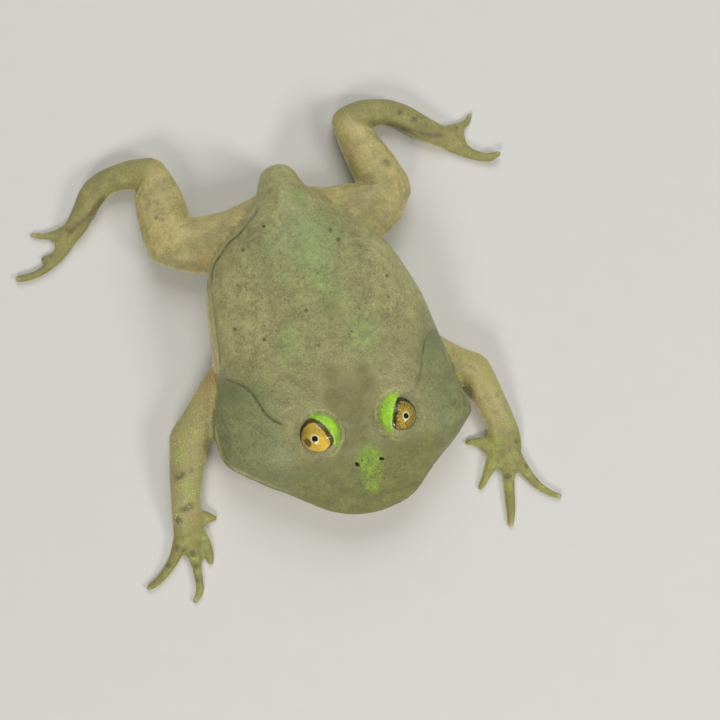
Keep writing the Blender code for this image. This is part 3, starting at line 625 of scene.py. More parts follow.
@dataclass(frozen=True)
class SkinFinish:
    """Shine and relief of the moist skin."""

    colours: SkinColours = SkinColours()
    roughness: float = 0.54
    coat: float = 0.08
    coat_roughness: float = 0.25
    scatter: float = 0.05
    relief: float = 0.00030
    relief_strength: float = 0.7

    def material(self) -> bpy.types.Material:
        """Build the skin's material from the masks on its mesh and fine noise."""
        board = Board("moist_skin")
        tone = self.colours
        place = board.place()
        cloud = board.noise(place, 0.085, 3.0, 0.5)
        patch = board.noise(place, 0.30, 3.0, 0.55)
        mottle = board.noise(place, 0.95, 4.0, 0.6)
        speck = board.noise(place, 2.6, 3.0, 0.65)
        stir = patch.swing(0.6) + mottle.swing(0.6) + speck.swing(0.5)

        def lay(under: Signal | tuple, *layers: Layer) -> Signal:
            """Lay several colours one over another."""
            for layer in layers:
                under = layer.over(board, under, stir)
            return under

        green = (board.mask("green") + cloud.swing(1.2) + stir * 0.7).step(0.15, 1.05)
        # Painted light: the rear and the sides of the back made lighter.
        trunk = lay(tone.back, Layer("rump_painted_light", tone.rump_painted_light, 0.2, 0.9, 0.5, 0.8))
        trunk = lay(
            board.mix(green, trunk, tone.back_green),
            Layer("snout", tone.snout, 0.2, 0.9, 0.7, 0.8),
            Layer("cheek", tone.cheek, 0.2, 0.9, 0.7, 0.8),
            Layer("temple", tone.temple, 0.1, 1.0, 1.8, 0.55),
            Layer("shade", tone.back_brown_and_fold_shade, 0.0, 0.9, 3.6, 0.8),
            Layer("flank", tone.flank, 0.3, 0.75, 0.6, 0.8),
        )
        limb = board.mix((cloud + stir * 0.3).step(0.40, 0.62), tone.limb, tone.limb_gold)
        limb = lay(
            limb, Layer("foot", tone.foot, 0.2, 0.85, 0.8), Layer("hand", tone.hand, 0.2, 0.85, 0.8)
        )
        leafy = (patch + mottle.swing(0.7)).step(0.46, 0.62) * 0.85
        limb = board.mix(leafy * board.mask("leaf"), limb, tone.leaf)
        skin = lay(
            trunk,
            Layer("limb", limb, 0.35, 0.65, 0.4),
            Layer("flush", tone.flush, 0.3, 0.9, 1.2, 0.6),
            # Cream underside, with a painted pale rim of light along the outline.
            Layer("belly_and_rim_light", tone.belly_and_rim_light, 0.25, 0.8, 0.35),
            Layer("halo", tone.halo, 0.3, 1.1, 1.8, 0.7),
            Layer("nose", tone.nose, 0.25, 1.05, 1.1, 0.9),
            Layer("lid", tone.lid, 0.15, 0.85, 0.4),
            # Deeper border of the lid's green, with painted shade at its front end.
            Layer("lid_edge_and_shade", tone.lid_deep, 0.2, 0.9, 0.6, 0.8),
            Layer("lid_rim", tone.lid_rim, 0.3, 1.0, 0.8, 0.5),
            # Brownish-purple along the foot folds, partly painted shade of the folds.
            Layer("brown_and_fold_shade", tone.brown_and_fold_shade, 0.2, 1.1, 1.6, 0.65),
            Layer("blotch", tone.blotch, 0.1, 0.8, 3.0, 0.75),
            # Painted shade in folds, nostrils, pores and the mouth line.
            Layer("crease", tone.crease, 0.2, 1.0, 1.7, 0.8),
            Layer("tip", tone.tip, 0.3, 0.9, 0.3, 0.8),
        )
        # Pale granules: partly their own pale colour, partly painted glints.
        grain = self.grain(board, place, 1.5, 0.30) + self.grain(board, place, 0.8, 0.20)
        grain = grain * (board.mask("grain") + patch.swing(1.2)).step(0.1, 0.7)
        skin = board.mix(grain * 0.7, skin, tone.grain)
        dots = board.cells(place, 0.55).step(0.14, 0.05)
        dots = dots * board.cells(place, 0.55, "Color").step(0.55, 0.65) * board.mask("dots")
        fine = (mottle.swing(0.9) + speck.swing(1.3)) * (1.0 - board.mask("limb") * 0.35)
        skin = board.tint(skin, 1.02 + patch.swing(0.85) + fine - dots * 0.45)
        wrinkle = board.noise(board.stretch(place, (1.0, 0.6, 1.0)), 1.3, 6.0, 0.65)
        height = wrinkle * 0.8 + mottle * 0.5 + speck * 0.35 + grain * 0.6 - dots * 0.4
        return board.finish(
            Base_Color=skin,
            Roughness=mottle.swing(0.5) + self.roughness,
            Coat_Weight=self.coat,
            Coat_Roughness=self.coat_roughness,
            Subsurface_Weight=self.scatter,
            Subsurface_Radius=mm(1.6, 1.1, 0.5),
            Subsurface_Scale=1.0,
            Normal=board.bump(height, self.relief, self.relief_strength),
        )

    @staticmethod
    def grain(board: Board, place: Signal, scale: float, reach: float) -> Signal:
        """Scattered pale grains, with painted glints, fewer than the cells that place them."""
        chosen = board.cells(place, scale, "Color").step(0.38, 0.55)
        return board.cells(place, scale).step(reach, 0.4 * reach) * chosen


@dataclass(frozen=True)
class Nostril:
    """Slanting oval pit on the snout."""

    x: float
    y: float
    length: float
    width: float
    turn: float

    def gap(self, places: np.ndarray) -> np.ndarray:
        """Distance from the middle, 1 on the oval's edge."""
        across, along = places[:, 0] - self.x, places[:, 1] - self.y
        cos, sin = math.cos(self.turn), math.sin(self.turn)
        forward, aside = cos * across + sin * along, cos * along - sin * across
        return np.hypot(forward / self.length, aside / self.width)


@dataclass
class FrogSkin:
    """One closed skin over trunk, head, jaw and limbs, with folds, lids, lips and nostrils."""

    lids: tuple[Lids, ...]
    finish: SkinFinish = field(default_factory=SkinFinish)
    voxel: float = 0.00040
    swell: float = 0.00025
    dome_radius: float = 0.0051
    body_smoothing: int = 9
    limb_smoothing: int = 4
    dome_smoothing: int = 20
    groin_smoothing: int = 110
    groin_reach: float = 0.0036
    under_slope: float = -0.2
    kept_share: float = 0.72
    trunk_reach: float = 0.0012
    top_slope: float = 0.1
    dome_ring: tuple[float, float] = (0.0050, 0.0082)
    limb_gain: float = 0.00006
    eye_split: float = 0.0072
    nostril_splits: tuple[float, ...] = (0.0022, 0.0014)
    lid_reach: tuple[float, float] = (0.0059, 0.0068)
    lid_roundness: float = 0.25
    pore_rim: float = 0.00012
    pore_depth: float = 0.00016
    pore_share: float = 0.4
    bump_rise: float = 0.00022
    snout_pore_depth: float = 0.00012
    snout_height: float = 0.012
    nostril_rim: float = 0.00010
    nostril_depth: float = 0.00080
    lip_depth: float = 0.00045
    lip_roll: float = 0.00012
    mouth_band: float = 0.0011
    mouth_half: float = 0.0305
    mouth_corner: float = -0.0124
    mouth: tuple[tuple[float, ...], ...] = mm_rows(
        (-45.0, 8.25), (-38.3, 8.25), (-33.0, 8.05), (-27.0, 7.55), (-21.0, 6.85), (-16.0, 6.15),
        (-12.4, 5.45), (-9.0, 3.6),
    )
    nostrils: tuple[Nostril, ...] = (
        Nostril(-0.0007, -0.0272, 0.00062, 0.00040, math.radians(-62.0)),
        Nostril(0.0045, -0.0275, 0.00058, 0.00036, math.radians(-28.0)),
    )
    snout_pores: tuple[Spot, ...] = spots(
        (0.5, -26.6, 0.30), (2.9, -28.7, 0.26), (-0.9, -31.4, 0.26), (4.2, -31.7, 0.24),
        (3.4, -30.4, 0.22),
    )
    back_pores: tuple[Spot, ...] = spots(
        (-5.9, 24.9, 0.5), (6.8, 20.4, 0.6), (7.8, 18.0, 0.65), (-2.7, 5.8, 0.5),
        (-11.2, 21.4, 0.5), (-12.2, 2.6, 0.5), (-2.1, -1.5, 0.4), (15.7, 8.4, 0.5),
        (14.6, 4.1, 0.4), (-17.2, 6.2, 0.5),
    )
    brow_bumps: tuple[Spot, ...] = spots(
        (-0.6, -15.5, 0.34), (0.1, -16.7, 0.34), (3.2, -14.1, 0.36), (3.4, -15.6, 0.30),
        (3.7, -17.0, 0.36), (5.4, -17.7, 0.30),
    )
    folds: tuple[Fold, ...] = (
        Fold(
            trail(
                (-23.4, -1.4), (-20.8, -3.6), (-18.6, -5.4), (-17.1, -8.2), (-16.1, -11.8),
                (-14.2, -14.2), (-11.6, -15.9),
            ),
            depth=0.00034, width=0.00034, rise=0.00020,
        ),
        Fold(
            trail(
                (24.4, -4.0), (22.2, -5.1), (20.0, -6.6), (18.4, -9.6), (17.4, -12.2),
                (16.0, -14.4), (14.3, -16.6),
            ),
            depth=0.00022, width=0.00038, rise=0.00016, roll_side=-1.0, dark=0.6,
        ),
        Fold(
            trail(
                (-4.6, 32.0), (-6.3, 28.5), (-8.9, 26.6), (-10.9, 25.1), (-13.6, 24.0),
                (-15.5, 22.3), (-17.3, 20.8), (-18.6, 18.2), (-19.8, 14.5),
            ),
            depth=0.00022, width=0.00034, rise=0.00010,
        ),
        Fold(
            trail((5.6, 29.6), (9.8, 24.3), (12.3, 21.9), (14.3, 20.5), (17.1, 18.4)),
            depth=0.00006, width=0.00040, rise=0.00004, roll_side=-1.0, dark=0.15,
        ),
    )
    flank_line: Fold = Fold(
        trail(
            (-19.3, 16.6), (-19.8, 13.2), (-20.3, 9.8), (-20.9, 6.2), (-21.5, 2.2), (-22.4, -1.6),
        ),
        depth=0.00018, width=0.00036, rise=0.00010, dark=0.5,
    )
    limb_creases: tuple[Fold, ...] = (
        Fold(trail((15.6, 29.4), (18.4, 29.8), (21.4, 28.6)), 0.0002, 0.0003),
        Fold(trail((16.4, 27.9), (18.8, 28.2), (21.2, 27.4)), 0.00014, 0.0003),
        Fold(trail((-18.2, 31.6), (-20.4, 31.0), (-22.8, 30.6)), 0.0002, 0.0003),
        Fold(trail((24.3, 42.2), (25.6, 44.0), (25.8, 46.0)), 0.00012, 0.0003),
    )
    foot_creases: tuple[Fold, ...] = (
        Fold(
            trail((-34.3, 42.6), (-37.4, 40.4), (-40.4, 38.2), (-43.0, 37.3), (-46.4, 35.8)),
            0.00014, 0.00034,
        ),
        Fold(
            trail((26.4, 42.4), (30.1, 40.6), (32.7, 38.9), (36.6, 37.0), (41.0, 35.9)),
            0.00014, 0.00034,
        ),
    )
    blotches: tuple[Spot, ...] = spots(
        (31.1, 43.3, 0.8, 0.7), (33.8, 40.9, 0.9, 0.7), (36.2, 39.0, 0.8, 0.6),
        (43.2, 37.2, 0.6, 0.7), (24.1, 32.6, 1.5, 0.45), (-44.9, 37.4, 0.7, 0.4),
        (-26.2, 33.9, 0.7, 0.6), (-25.1, 33.0, 0.6, 0.6), (-35.9, -19.4, 1.1, 0.6),
        (-33.7, -19.1, 0.9, 0.5), (-37.2, -20.1, 0.9, 0.6), (-37.7, -26.7, 1.0, 0.7),
        (-36.1, -26.6, 0.9, 0.7), (-39.2, -29.0, 1.0, 0.7), (-41.3, -34.6, 0.8, 0.9),
        (-40.2, -35.4, 0.6, 0.8), (-44.0, -37.6, 0.7, 0.8), (-46.6, -39.9, 0.5, 0.6),
        (-38.3, -36.6, 0.8, 0.9), (-38.4, -39.4, 0.7, 0.9), (-38.8, -42.5, 0.7, 0.8),
        (35.3, -31.3, 1.0, 0.75), (36.2, -33.6, 1.0, 0.75), (34.0, -22.2, 1.0, 0.4),
        (32.6, -35.2, 1.3, 0.35), (32.6, -40.6, 0.8, 0.9), (37.2, -39.6, 0.7, 0.6),
        (31.9, -44.9, 0.6, 0.7), (38.9, -43.2, 0.6, 0.5),
    )
    greens: tuple[Spot, ...] = spots(
        (2.6, 29.4, 1.7, 0.9), (1.2, 22.1, 4.5, 0.6), (7.6, 20.4, 5.0, 0.4), (1.3, 14.8, 5.0, 0.6),
        (2.5, 6.4, 4.5, 0.6), (7.6, -1.7, 4.5, 0.6), (-6.9, 20.7, 4.0, 0.45), (-7.1, 1.0, 4.0, 0.4),
        (-16.8, -7.8, 2.2, 0.6),
    )
    shades: tuple[Spot, ...] = spots(
        (-1.3, -7.5, 1.5, 0.75), (-1.8, -12.2, 1.7, 0.55), (5.3, -8.4, 1.5, 0.5),
        (5.5, -11.8, 1.7, 0.65), (2.0, 5.0, 2.4, 0.4), (0.9, -14.0, 5.0, 0.6),
        (0.6, -19.4, 3.4, 0.65), (-1.7, -22.7, 1.4, 0.6), (1.9, -23.0, 1.4, 0.6),
    )
    flushes: tuple[Spot, ...] = spots(
        (14.2, 26.4, 1.2, 0.8), (17.6, 17.8, 2.0, 0.6), (-19.8, 22.4, 3.4, 0.7),
        (-24.6, -1.6, 2.2, 0.9), (-27.0, -4.6, 2.2, 0.55), (17.4, 29.0, 2.0, 0.5),
        (-18.6, 31.6, 1.6, 0.6),
    )

    def build(self) -> bpy.types.Object:
        """Make, shape, paint and dress the skin."""
        piece = self.remesh(self.gather())
        surface = Surface(piece.data)
        surface.push(np.full(len(surface.points), -self.swell))
        self.smooth(piece, surface)
        self.refine(piece, surface)
        surface.read()
        self.sculpt(surface)
        surface = self.thin(piece, surface)
        self.lay_on_floor(surface)
        self.paint(surface)
        piece.data.shade_smooth()
        piece.data.materials.append(self.finish.material())
        settle(piece, "back_skin", *FLESH)
        return piece

    def gather(self) -> bmesh.types.BMesh:
        """Copies of the flesh in one bmesh, swollen until the joints close, with domed eyes."""
        shape = solids(FLESH)
        bmesh.ops.remove_doubles(shape, verts=shape.verts, dist=MERGE_DISTANCE)
        for lids in self.lids:
            bmesh.ops.create_uvsphere(
                shape,
                u_segments=48,
                v_segments=32,
                radius=self.dome_radius,
                matrix=Matrix.Translation(lids.centre),
            )
        shape.normal_update()
        shares = [self.swell * min(vert.calc_shell_factor(), 1.6) for vert in shape.verts]
        for vert, share in zip(shape.verts, shares):
            vert.co += vert.normal * share
        return shape

    def remesh(self, shape: bmesh.types.BMesh) -> bpy.types.Object:
        """Fuse everything into one even, closed surface."""
        rough = make_piece("rough_skin", shape)
        fuse = rough.modifiers.new("fuse", "REMESH")
        fuse.mode = "VOXEL"
        fuse.voxel_size = self.voxel
        self.apply(rough)
        rough.name = rough.data.name = "skin"
        return rough

    @staticmethod
    def apply(piece: bpy.types.Object) -> None:
        """Make the result of an object's modifiers its own mesh."""
        before = piece.data
        depsgraph = bpy.context.evaluated_depsgraph_get()
        piece.data = bpy.data.meshes.new_from_object(piece.evaluated_get(depsgraph))
        piece.modifiers.clear()
        bpy.data.meshes.remove(before)

    def thin(self, piece: bpy.types.Object, surface: Surface) -> Surface:
        """Merge small faces of the underside, which has no fine forms.

        Args:
            piece: Skin's object.
            surface: Its points before the change.

        Returns:
            The points that are left.
        """
        under = np.flatnonzero(surface.normals[:, 2] < self.under_slope)
        piece.vertex_groups.new(name="under").add(under.tolist(), 1.0, "REPLACE")
        merge = piece.modifiers.new("thin", "DECIMATE")
        merge.ratio = self.kept_share
        merge.vertex_group = "under"
        self.apply(piece)
        piece.vertex_groups.clear()
        return Surface(piece.data)

    def limb_share(self, surface: Surface, names: Sequence[str], blend: float) -> np.ndarray:
        """How far each point belongs to some solids rather than to all others.

        Args:
            surface: Skin.
            names: Solids of the region.
            blend: Width of the soft border.

        Returns:
            Shares between 0 and 1.
        """
        inner = self.nearness(surface, names)
        outer = self.nearness(surface, [name for name in FLESH if name not in names])
        return np.clip(0.5 + 0.5 * (outer - inner) / blend, 0.0, 1.0)

    def nearness(self, surface: Surface, names: Sequence[str]) -> np.ndarray:
        """Distance from each point of the skin to the nearest of some solids."""
        shape = solids(names)
        tree = BVHTree.FromBMesh(shape)
        shape.free()
        far = 0.02
        found = (tree.find_nearest(point, far)[3] for point in surface.points)
        return np.array([far if distance is None else distance for distance in found])

    def smooth(self, piece: bpy.types.Object, surface: Surface) -> None:
        """Even out the trunk more than the limbs, and give thin parts their thickness back."""
        trunk = self.nearness(surface, TRUNK)
        shape = bmesh.new()
        shape.from_mesh(piece.data)
        shape.verts.ensure_lookup_table()
        broad = [vert for vert, gap in zip(shape.verts, trunk) if gap < self.trunk_reach]
        relax(shape, list(shape.verts), self.limb_smoothing)
        relax(shape, broad, self.body_smoothing)
        points = np.array([vert.co[:] for vert in shape.verts])
        for lids in self.lids:
            distance = np.linalg.norm(points - np.array(lids.centre), axis=1)
            ring = (distance > self.dome_ring[0]) & (distance < self.dome_ring[1])
            around = [shape.verts[index] for index in np.flatnonzero(ring)]
            relax(shape, around, self.dome_smoothing)
        groin = np.flatnonzero(self.groin(points[:, :2]))
        shape.normal_update()
        near = [shape.verts[index] for index in groin]
        top = [vert for vert in near if vert.normal.z > self.top_slope]
        relax(shape, top, self.groin_smoothing)
        shape.to_mesh(piece.data)
        shape.free()
        surface.read()
        surface.push(ease(trunk, 0.001, 0.003) * self.limb_gain)

    def groin(self, places: np.ndarray) -> np.ndarray:
        """Whether places lie near the creases between trunk and thighs."""
        near = np.zeros(len(places), bool)
        for fold in self.folds[2:]:
            signed, _ = fold.trail.measure(places)
            near |= np.abs(signed) < self.groin_reach
        return near

    def refine(self, piece: bpy.types.Object, surface: Surface) -> None:
        """Split the faces round eyes, nostrils and mouth for their finer forms."""
        shape = bmesh.new()
        shape.from_mesh(piece.data)
        self.split_near(shape, [lids.centre for lids in self.lids], self.eye_split)
        nostrils = [self.on_skin(shape, nostril) for nostril in self.nostrils]
        for reach in self.nostril_splits:
            self.split_near(shape, nostrils, reach)
        self.split_mouth(shape)
        shape.to_mesh(piece.data)
        shape.free()

    @staticmethod
    def on_skin(shape: bmesh.types.BMesh, nostril: Nostril) -> Vector:
        """Point of the skin's upper side over a nostril."""
        tree = BVHTree.FromBMesh(shape)
        above = Vector((nostril.x, nostril.y, 0.05))
        return tree.ray_cast(above, Vector((0.0, 0.0, -1.0)))[0]

    def split_near(self, shape: bmesh.types.BMesh, places: Sequence[Vector], reach: float) -> None:
        """Halve the edges within reach of some places."""

        def close(vert: bmesh.types.BMVert) -> bool:
            """Whether a point lies within reach."""
            return any((vert.co - place).length < reach for place in places)

        near = [edge for edge in shape.edges if all(close(vert) for vert in edge.verts)]
        self.split(shape, near)

    def split_mouth(self, shape: bmesh.types.BMesh) -> None:
        """Halve the edges along the line of the mouth."""
        near = []
        for edge in shape.edges:
            middle = (edge.verts[0].co + edge.verts[1].co) * 0.5
            if middle.y < self.mouth_corner + 0.002 and abs(middle.x) < self.mouth_half:
                if abs(middle.z - self.mouth_height(middle.y)) < self.mouth_band:
                    near.append(edge)
        self.split(shape, near)

    @staticmethod
    def split(shape: bmesh.types.BMesh, edges: Sequence[bmesh.types.BMEdge]) -> None:
        """Halve some edges and the faces between them."""
        bmesh.ops.subdivide_edges(shape, edges=edges, cuts=1, use_grid_fill=True)
        wide = [face for face in shape.faces if len(face.verts) > 4]
        bmesh.ops.triangulate(shape, faces=wide)

    def mouth_height(self, along: np.ndarray | float) -> np.ndarray:
        """Height of the line between the lips along the head."""
        places, heights = zip(*self.mouth)
        return np.interp(along, places, heights)

    def sculpt(self, surface: Surface) -> None:
        """Raise and press in the forms that the solids leave plain."""
        for lids in self.lids:
            self.open_eye(surface, lids)
        seen = surface.points[:, :2]
        upper = ease(surface.normals[:, 2], -0.1, 0.35)
        height = np.zeros(len(seen))
        for fold in (*self.folds, *self.limb_creases, *self.foot_creases, self.flank_line):
            height += fold.height(seen)
        for spot in self.back_pores:
            height += self.pore_rim * spot.cover(seen)
            pit = Spot(spot.x, spot.y, self.pore_share * spot.radius)
            height -= self.pore_depth * pit.cover(seen)
        for spot in self.brow_bumps:
            height += self.bump_rise * spot.cover(seen)
        for spot in self.snout_pores:
            height -= self.snout_pore_depth * spot.cover(seen)
        surface.push(height * upper)
        self.press_nostrils(surface)
        self.part_lips(surface)

    def open_eye(self, surface: Surface, lids: Lids) -> None:
        """Open the lids of one eye and lay their edges on the eyeball."""
        distance, toward = lids.directions(surface.points)
        inside, upper_share = lids.inside(toward)
        width = lids.upper_width * upper_share + lids.lower_width * (1.0 - upper_share)
        edge = lids.radius + lids.proud
        share = np.clip(-inside / width, 0.0, 1.0)
        round_edge = np.sqrt(np.maximum(1.0 - (1.0 - share) ** 2, 0.0))
        profile = self.lid_roundness * round_edge + (1.0 - self.lid_roundness) * share
        outside = edge + np.maximum(distance - edge, 0.0) * profile
        within = edge - lids.tuck * ease(inside, 0.0, lids.tuck_width)
        target = np.where(inside > 0.0, within, outside)
        full, last = self.lid_reach
        hold = ease(-distance, -last, -full) * (toward[:, 2] > -0.35)
        moved = np.where(inside > -width, target, distance)
        surface.points += toward * ((moved - distance) * hold)[:, None]
        surface.write()

    def press_nostrils(self, surface: Surface) -> None:
        """Sink the nostrils into low rims."""
        seen = surface.points[:, :2]
        upper = surface.points[:, 2] > self.snout_height
        height = np.zeros(len(seen))
        for nostril in self.nostrils:
            gap = nostril.gap(seen)
            height += self.nostril_rim * bell(gap - 1.8, 0.7)
            height -= self.nostril_depth * ease(-gap, -1.15, -0.35)
        surface.push(height * upper)

    def part_lips(self, surface: Surface) -> None:
        """Press in the line of the mouth and round the lips above and below it."""
        gap, jaws = self.mouth_gap(surface, 0.002)
        steep = ease(-np.abs(surface.normals[:, 2]), -0.95, -0.6)
        height = self.lip_roll * bell(np.abs(gap) - 0.0007, 0.0004)
        height -= self.lip_depth * bell(gap, 0.00022)
        surface.push(height * jaws * steep)

    def mouth_gap(self, surface: Surface, blend: float) -> tuple[np.ndarray, np.ndarray]:
        """Height of points over the line of the mouth.

        Args:
            surface: Skin.
            blend: Half the length over which the line ends at its corners.

        Returns:
            Heights, and shares of the jaws in front of the mouth's corners.
        """
        gap = surface.points[:, 2] - self.mouth_height(surface.points[:, 1])
        corner = -self.mouth_corner
        front = ease(-surface.points[:, 1], corner - blend, corner + blend)
        return gap, front * ease(-self.nearness(surface, JAWS), -0.0013, -0.0007)

    def lay_on_floor(self, surface: Surface) -> None:
        """Keep every point on or above the floor."""
        surface.points[:, 2] = np.maximum(surface.points[:, 2], 0.0)
        surface.write()

    def paint(self, surface: Surface) -> None:
        """Store the masks of the skin's markings on its points."""
        points, normals = surface.points, surface.normals
        seen = points[:, :2]
        upper = ease(normals[:, 2], -0.25, 0.2)
        right, left = (limb_nodes(side) for side in (Side.RIGHT, Side.LEFT))
        blends = {"arm": 0.0016, "hand": 0.0050, "leg": 0.0016, "foot": 0.0040}
        region = {
            name: self.limb_share(surface, (*right[name], *left[name]), blend)
            for name, blend in blends.items()
        }
        limb = np.clip(sum(region.values()), 0.0, 1.0)
        trunk = 1.0 - limb

        def marks(places: Sequence[Spot]) -> np.ndarray:
            """Sum of some marks on the upper side."""
            return np.clip(sum(place.cover(seen) for place in places), 0.0, 1.0) * upper

        x, y = seen.T
        # Painted light on the sides of the back, from the middle rearwards.
        painted_side_light = np.maximum(ease(x, 0.005, 0.019), 0.9 * ease(-x, 0.005, 0.015))
        painted_side_light = painted_side_light * ease(y, -0.006, 0.006)
        # Strength of the pale granules, which carry painted glints.
        grain = region["arm"] + 0.45 * region["leg"] + 0.3 * region["foot"] + 0.3 * region["hand"]
        masks = {
            "limb": limb,
            "hand": region["hand"],
            "foot": region["foot"],
            "green": 0.15 + marks(self.greens),
            # Painted light: lighter rear, and the lighter sides of the back.
            "rump_painted_light": np.maximum(ease(y, 0.016, 0.032), painted_side_light) * trunk,
            "snout": ease(-y, 0.019, 0.030),
            "cheek": ease(np.abs(x - 0.002), 0.011, 0.020) * ease(-y, 0.001, 0.008),
            "temple": self.temple(seen) * trunk,
            "shade": marks(self.shades),
            "flush": marks(self.flushes),
            "flank": self.flank(points, normals) * trunk,
            # Cream underside, with a painted pale rim of light along the outline.
            "belly_and_rim_light": self.underside(points, normals),
            "nose": self.nose_patch(seen) * upper,
            "blotch": marks(self.blotches) * limb,
            # Painted shade in folds, nostrils, pores and the mouth line.
            "crease": self.creases(surface, region["arm"]),
            # Brownish-purple along the foot folds, partly painted shade of the folds.
            "brown_and_fold_shade": self.foot_fold_brown_and_shade(seen) * upper,
            "grain": np.clip(grain, 0.0, 1.0),
            "leaf": np.clip(0.75 * region["arm"] + region["hand"], 0.0, 1.0),
            "dots": trunk * upper,
            "tip": self.tips(points),
            **self.lid_marks(surface),
        }
        for name, values in masks.items():
            surface.store(name, values)

    def temple(self, seen: np.ndarray) -> np.ndarray:
        """Dark blue-green cheek below each fold behind the eye."""
        strength = np.zeros(len(seen))
        for fold, outward in zip(self.folds[:2], (-1.0, 1.0)):
            signed, share = fold.trail.measure(seen)
            below = -signed * fold.roll_side
            band = ease(below, -0.0002, 0.0008) * ease(-below, -0.0075, -0.0012)
            strength += band * ease(1.0 - share, 0.25, 0.95)
        strength += 0.9 * Spot(*mm(16.6, -13.6, 1.6)).cover(seen)
        return np.clip(strength, 0.0, 1.0)

    def flank(self, points: np.ndarray, normals: np.ndarray) -> np.ndarray:
        """Pale lower flank, which shows as a strip beside the back."""
        signed, share = self.flank_line.trail.measure(points[:, :2])
        ends = ease(share, 0.0, 0.05) * ease(1.0 - share, 0.0, 0.02)
        right = ease(-signed, 0.0, 0.0004) * ends * (points[:, 0] < 0.0)
        side = ease(-normals[:, 2], -0.45, 0.05)
        body = ease(points[:, 1], -0.006, -0.001) * ease(-points[:, 1], -0.030, -0.020)
        return np.clip(right + side * body, 0.0, 1.0)

    def underside(self, points: np.ndarray, normals: np.ndarray) -> np.ndarray:
        """Cream underside of body, throat and soles, the skin's own colour, carried up the sides as a
        thin pale rim along the outline, which is painted rim light.
        """
        down = -normals[:, 2]
        # Pale rim along the front of the jaws: painted rim light.
        lips = 0.55 * ease(down, -0.55, -0.25) * ease(-points[:, 1], 0.004, 0.012)
        return np.maximum(0.7 * ease(down, -0.40, -0.12) + 0.3 * ease(down, 0.0, 0.6), lips)

    def nose_patch(self, seen: np.ndarray) -> np.ndarray:
        """Yellow-green patch between the nostrils, with a fainter trail to the lip."""
        across = seen[:, 0] - 0.0021
        patch = bell(np.hypot(across, (seen[:, 1] + 0.0270) / 1.25), 0.0031)
        lower = 0.65 * bell(np.hypot(across + 0.0006, (seen[:, 1] + 0.0333) / 1.3), 0.0018)
        return np.clip(1.25 * patch + lower, 0.0, 1.0)

    def creases(self, surface: Surface, arm: np.ndarray) -> np.ndarray:
        """Painted shade: dark lines in folds, mouth, nostrils and pores, where shade falls.

        Args:
            surface: Skin.
            arm: Share of the arms at each point, where no mouth line runs.

        Returns:
            Strengths between 0 and 1.
        """
        seen = surface.points[:, :2]
        upper = ease(surface.normals[:, 2], -0.25, 0.2)
        dark = sum(fold.shade(seen) for fold in (*self.folds, self.flank_line))
        dark = dark + sum(0.5 * fold.shade(seen) for fold in self.limb_creases)
        for nostril in self.nostrils:
            dark = dark + 2.0 * ease(-nostril.gap(seen), -1.25, -0.6)
        for spot in (*self.snout_pores, *self.back_pores):
            dark = dark + spot.cover(seen)
        gap, jaws = self.mouth_gap(surface, 0.001)
        mouth = 0.9 * bell(gap, 0.00030) * jaws * ease(-arm, -0.25, -0.02)
        return np.clip(dark * upper + mouth, 0.0, 1.0)

    def foot_fold_brown_and_shade(self, seen: np.ndarray) -> np.ndarray:
        """Brownish-purple band along the fold at the inner edge of each hind foot: partly the skin's
        own colour, partly painted shade of the fold.
        """
        strength = np.zeros(len(seen))
        for fold in self.foot_creases:
            signed, share = fold.trail.measure(seen)
            strength += (0.7 * bell(signed, 0.0012) + 0.3 * bell(signed, 0.0003)) * fold.fade(share)
        return np.clip(strength, 0.0, 1.0)

    def tips(self, points: np.ndarray) -> np.ndarray:
        """Pale ends of fingers and toes."""
        ends = mm_rows(
            (-40.5, -46.6), (-49.6, -41.3), (30.2, -51.4), (42.9, -48.3), (-58.0, 30.0),
            (-52.4, 38.2), (51.0, 29.8), (47.6, 39.2),
        )
        return np.clip(sum(Spot(*end, 0.0009).cover(points[:, :2]) for end in ends), 0.0, 1.0)

    def lid_marks(self, surface: Surface) -> dict[str, np.ndarray]:
        """Bright green crescent of each upper lid, its deeper border, painted shade that darkens its
        front end, and the pale ring round it.
        """
        names = ("lid", "lid_edge_and_shade", "lid_rim", "halo")
        marks = {name: np.zeros(len(surface.points)) for name in names}
        for lids in self.lids:
            distance, toward = lids.directions(surface.points)
            inside, _ = lids.inside(toward)
            depth, turn = lids.green(surface.points)
            strength = ease(1.0 - turn, 0.0, 0.15) * ease(1.0 + turn, 0.0, 0.3)
            near = (distance < self.lid_reach[1]) & (toward[:, 2] > -0.1)
            green = near * (depth > 0.0) * strength
            marks["lid"] += near * ease(depth, -0.0001, 0.0003) * strength
            marks["lid_edge_and_shade"] += near * 0.8 * bell(depth - 0.0003, 0.0003) * strength
            # Painted shade: the green made deeper towards the lid's front end.
            marks["lid_edge_and_shade"] += 0.8 * green * ease(-turn, 0.0, 0.8)
            marks["lid_rim"] += green * bell(inside + 0.00005, 0.0002)
            halo = bell(depth + 0.0005, 0.0004) * ease(1.5 - np.abs(turn), 0.0, 0.5)
            marks["halo"] += near * halo
        return {name: np.clip(values, 0.0, 1.0) for name, values in marks.items()}


@dataclass(frozen=True)
class IrisColours:
    """Colours of one eye."""

    gold: tuple = srgb(250, 214, 84)
    amber: tuple = srgb(228, 174, 62)
    olive: tuple = srgb(196, 174, 72)
    vein: tuple = srgb(92, 70, 30)
    pupil: tuple = srgb(6, 6, 6)
    ring: tuple = srgb(255, 246, 188)
    # Dark of the iris's border, also used for the painted shadow of the upper lid.
    rim: tuple = srgb(50, 52, 42)
    limbus_and_lid_shadow: tuple = srgb(116, 104, 76)


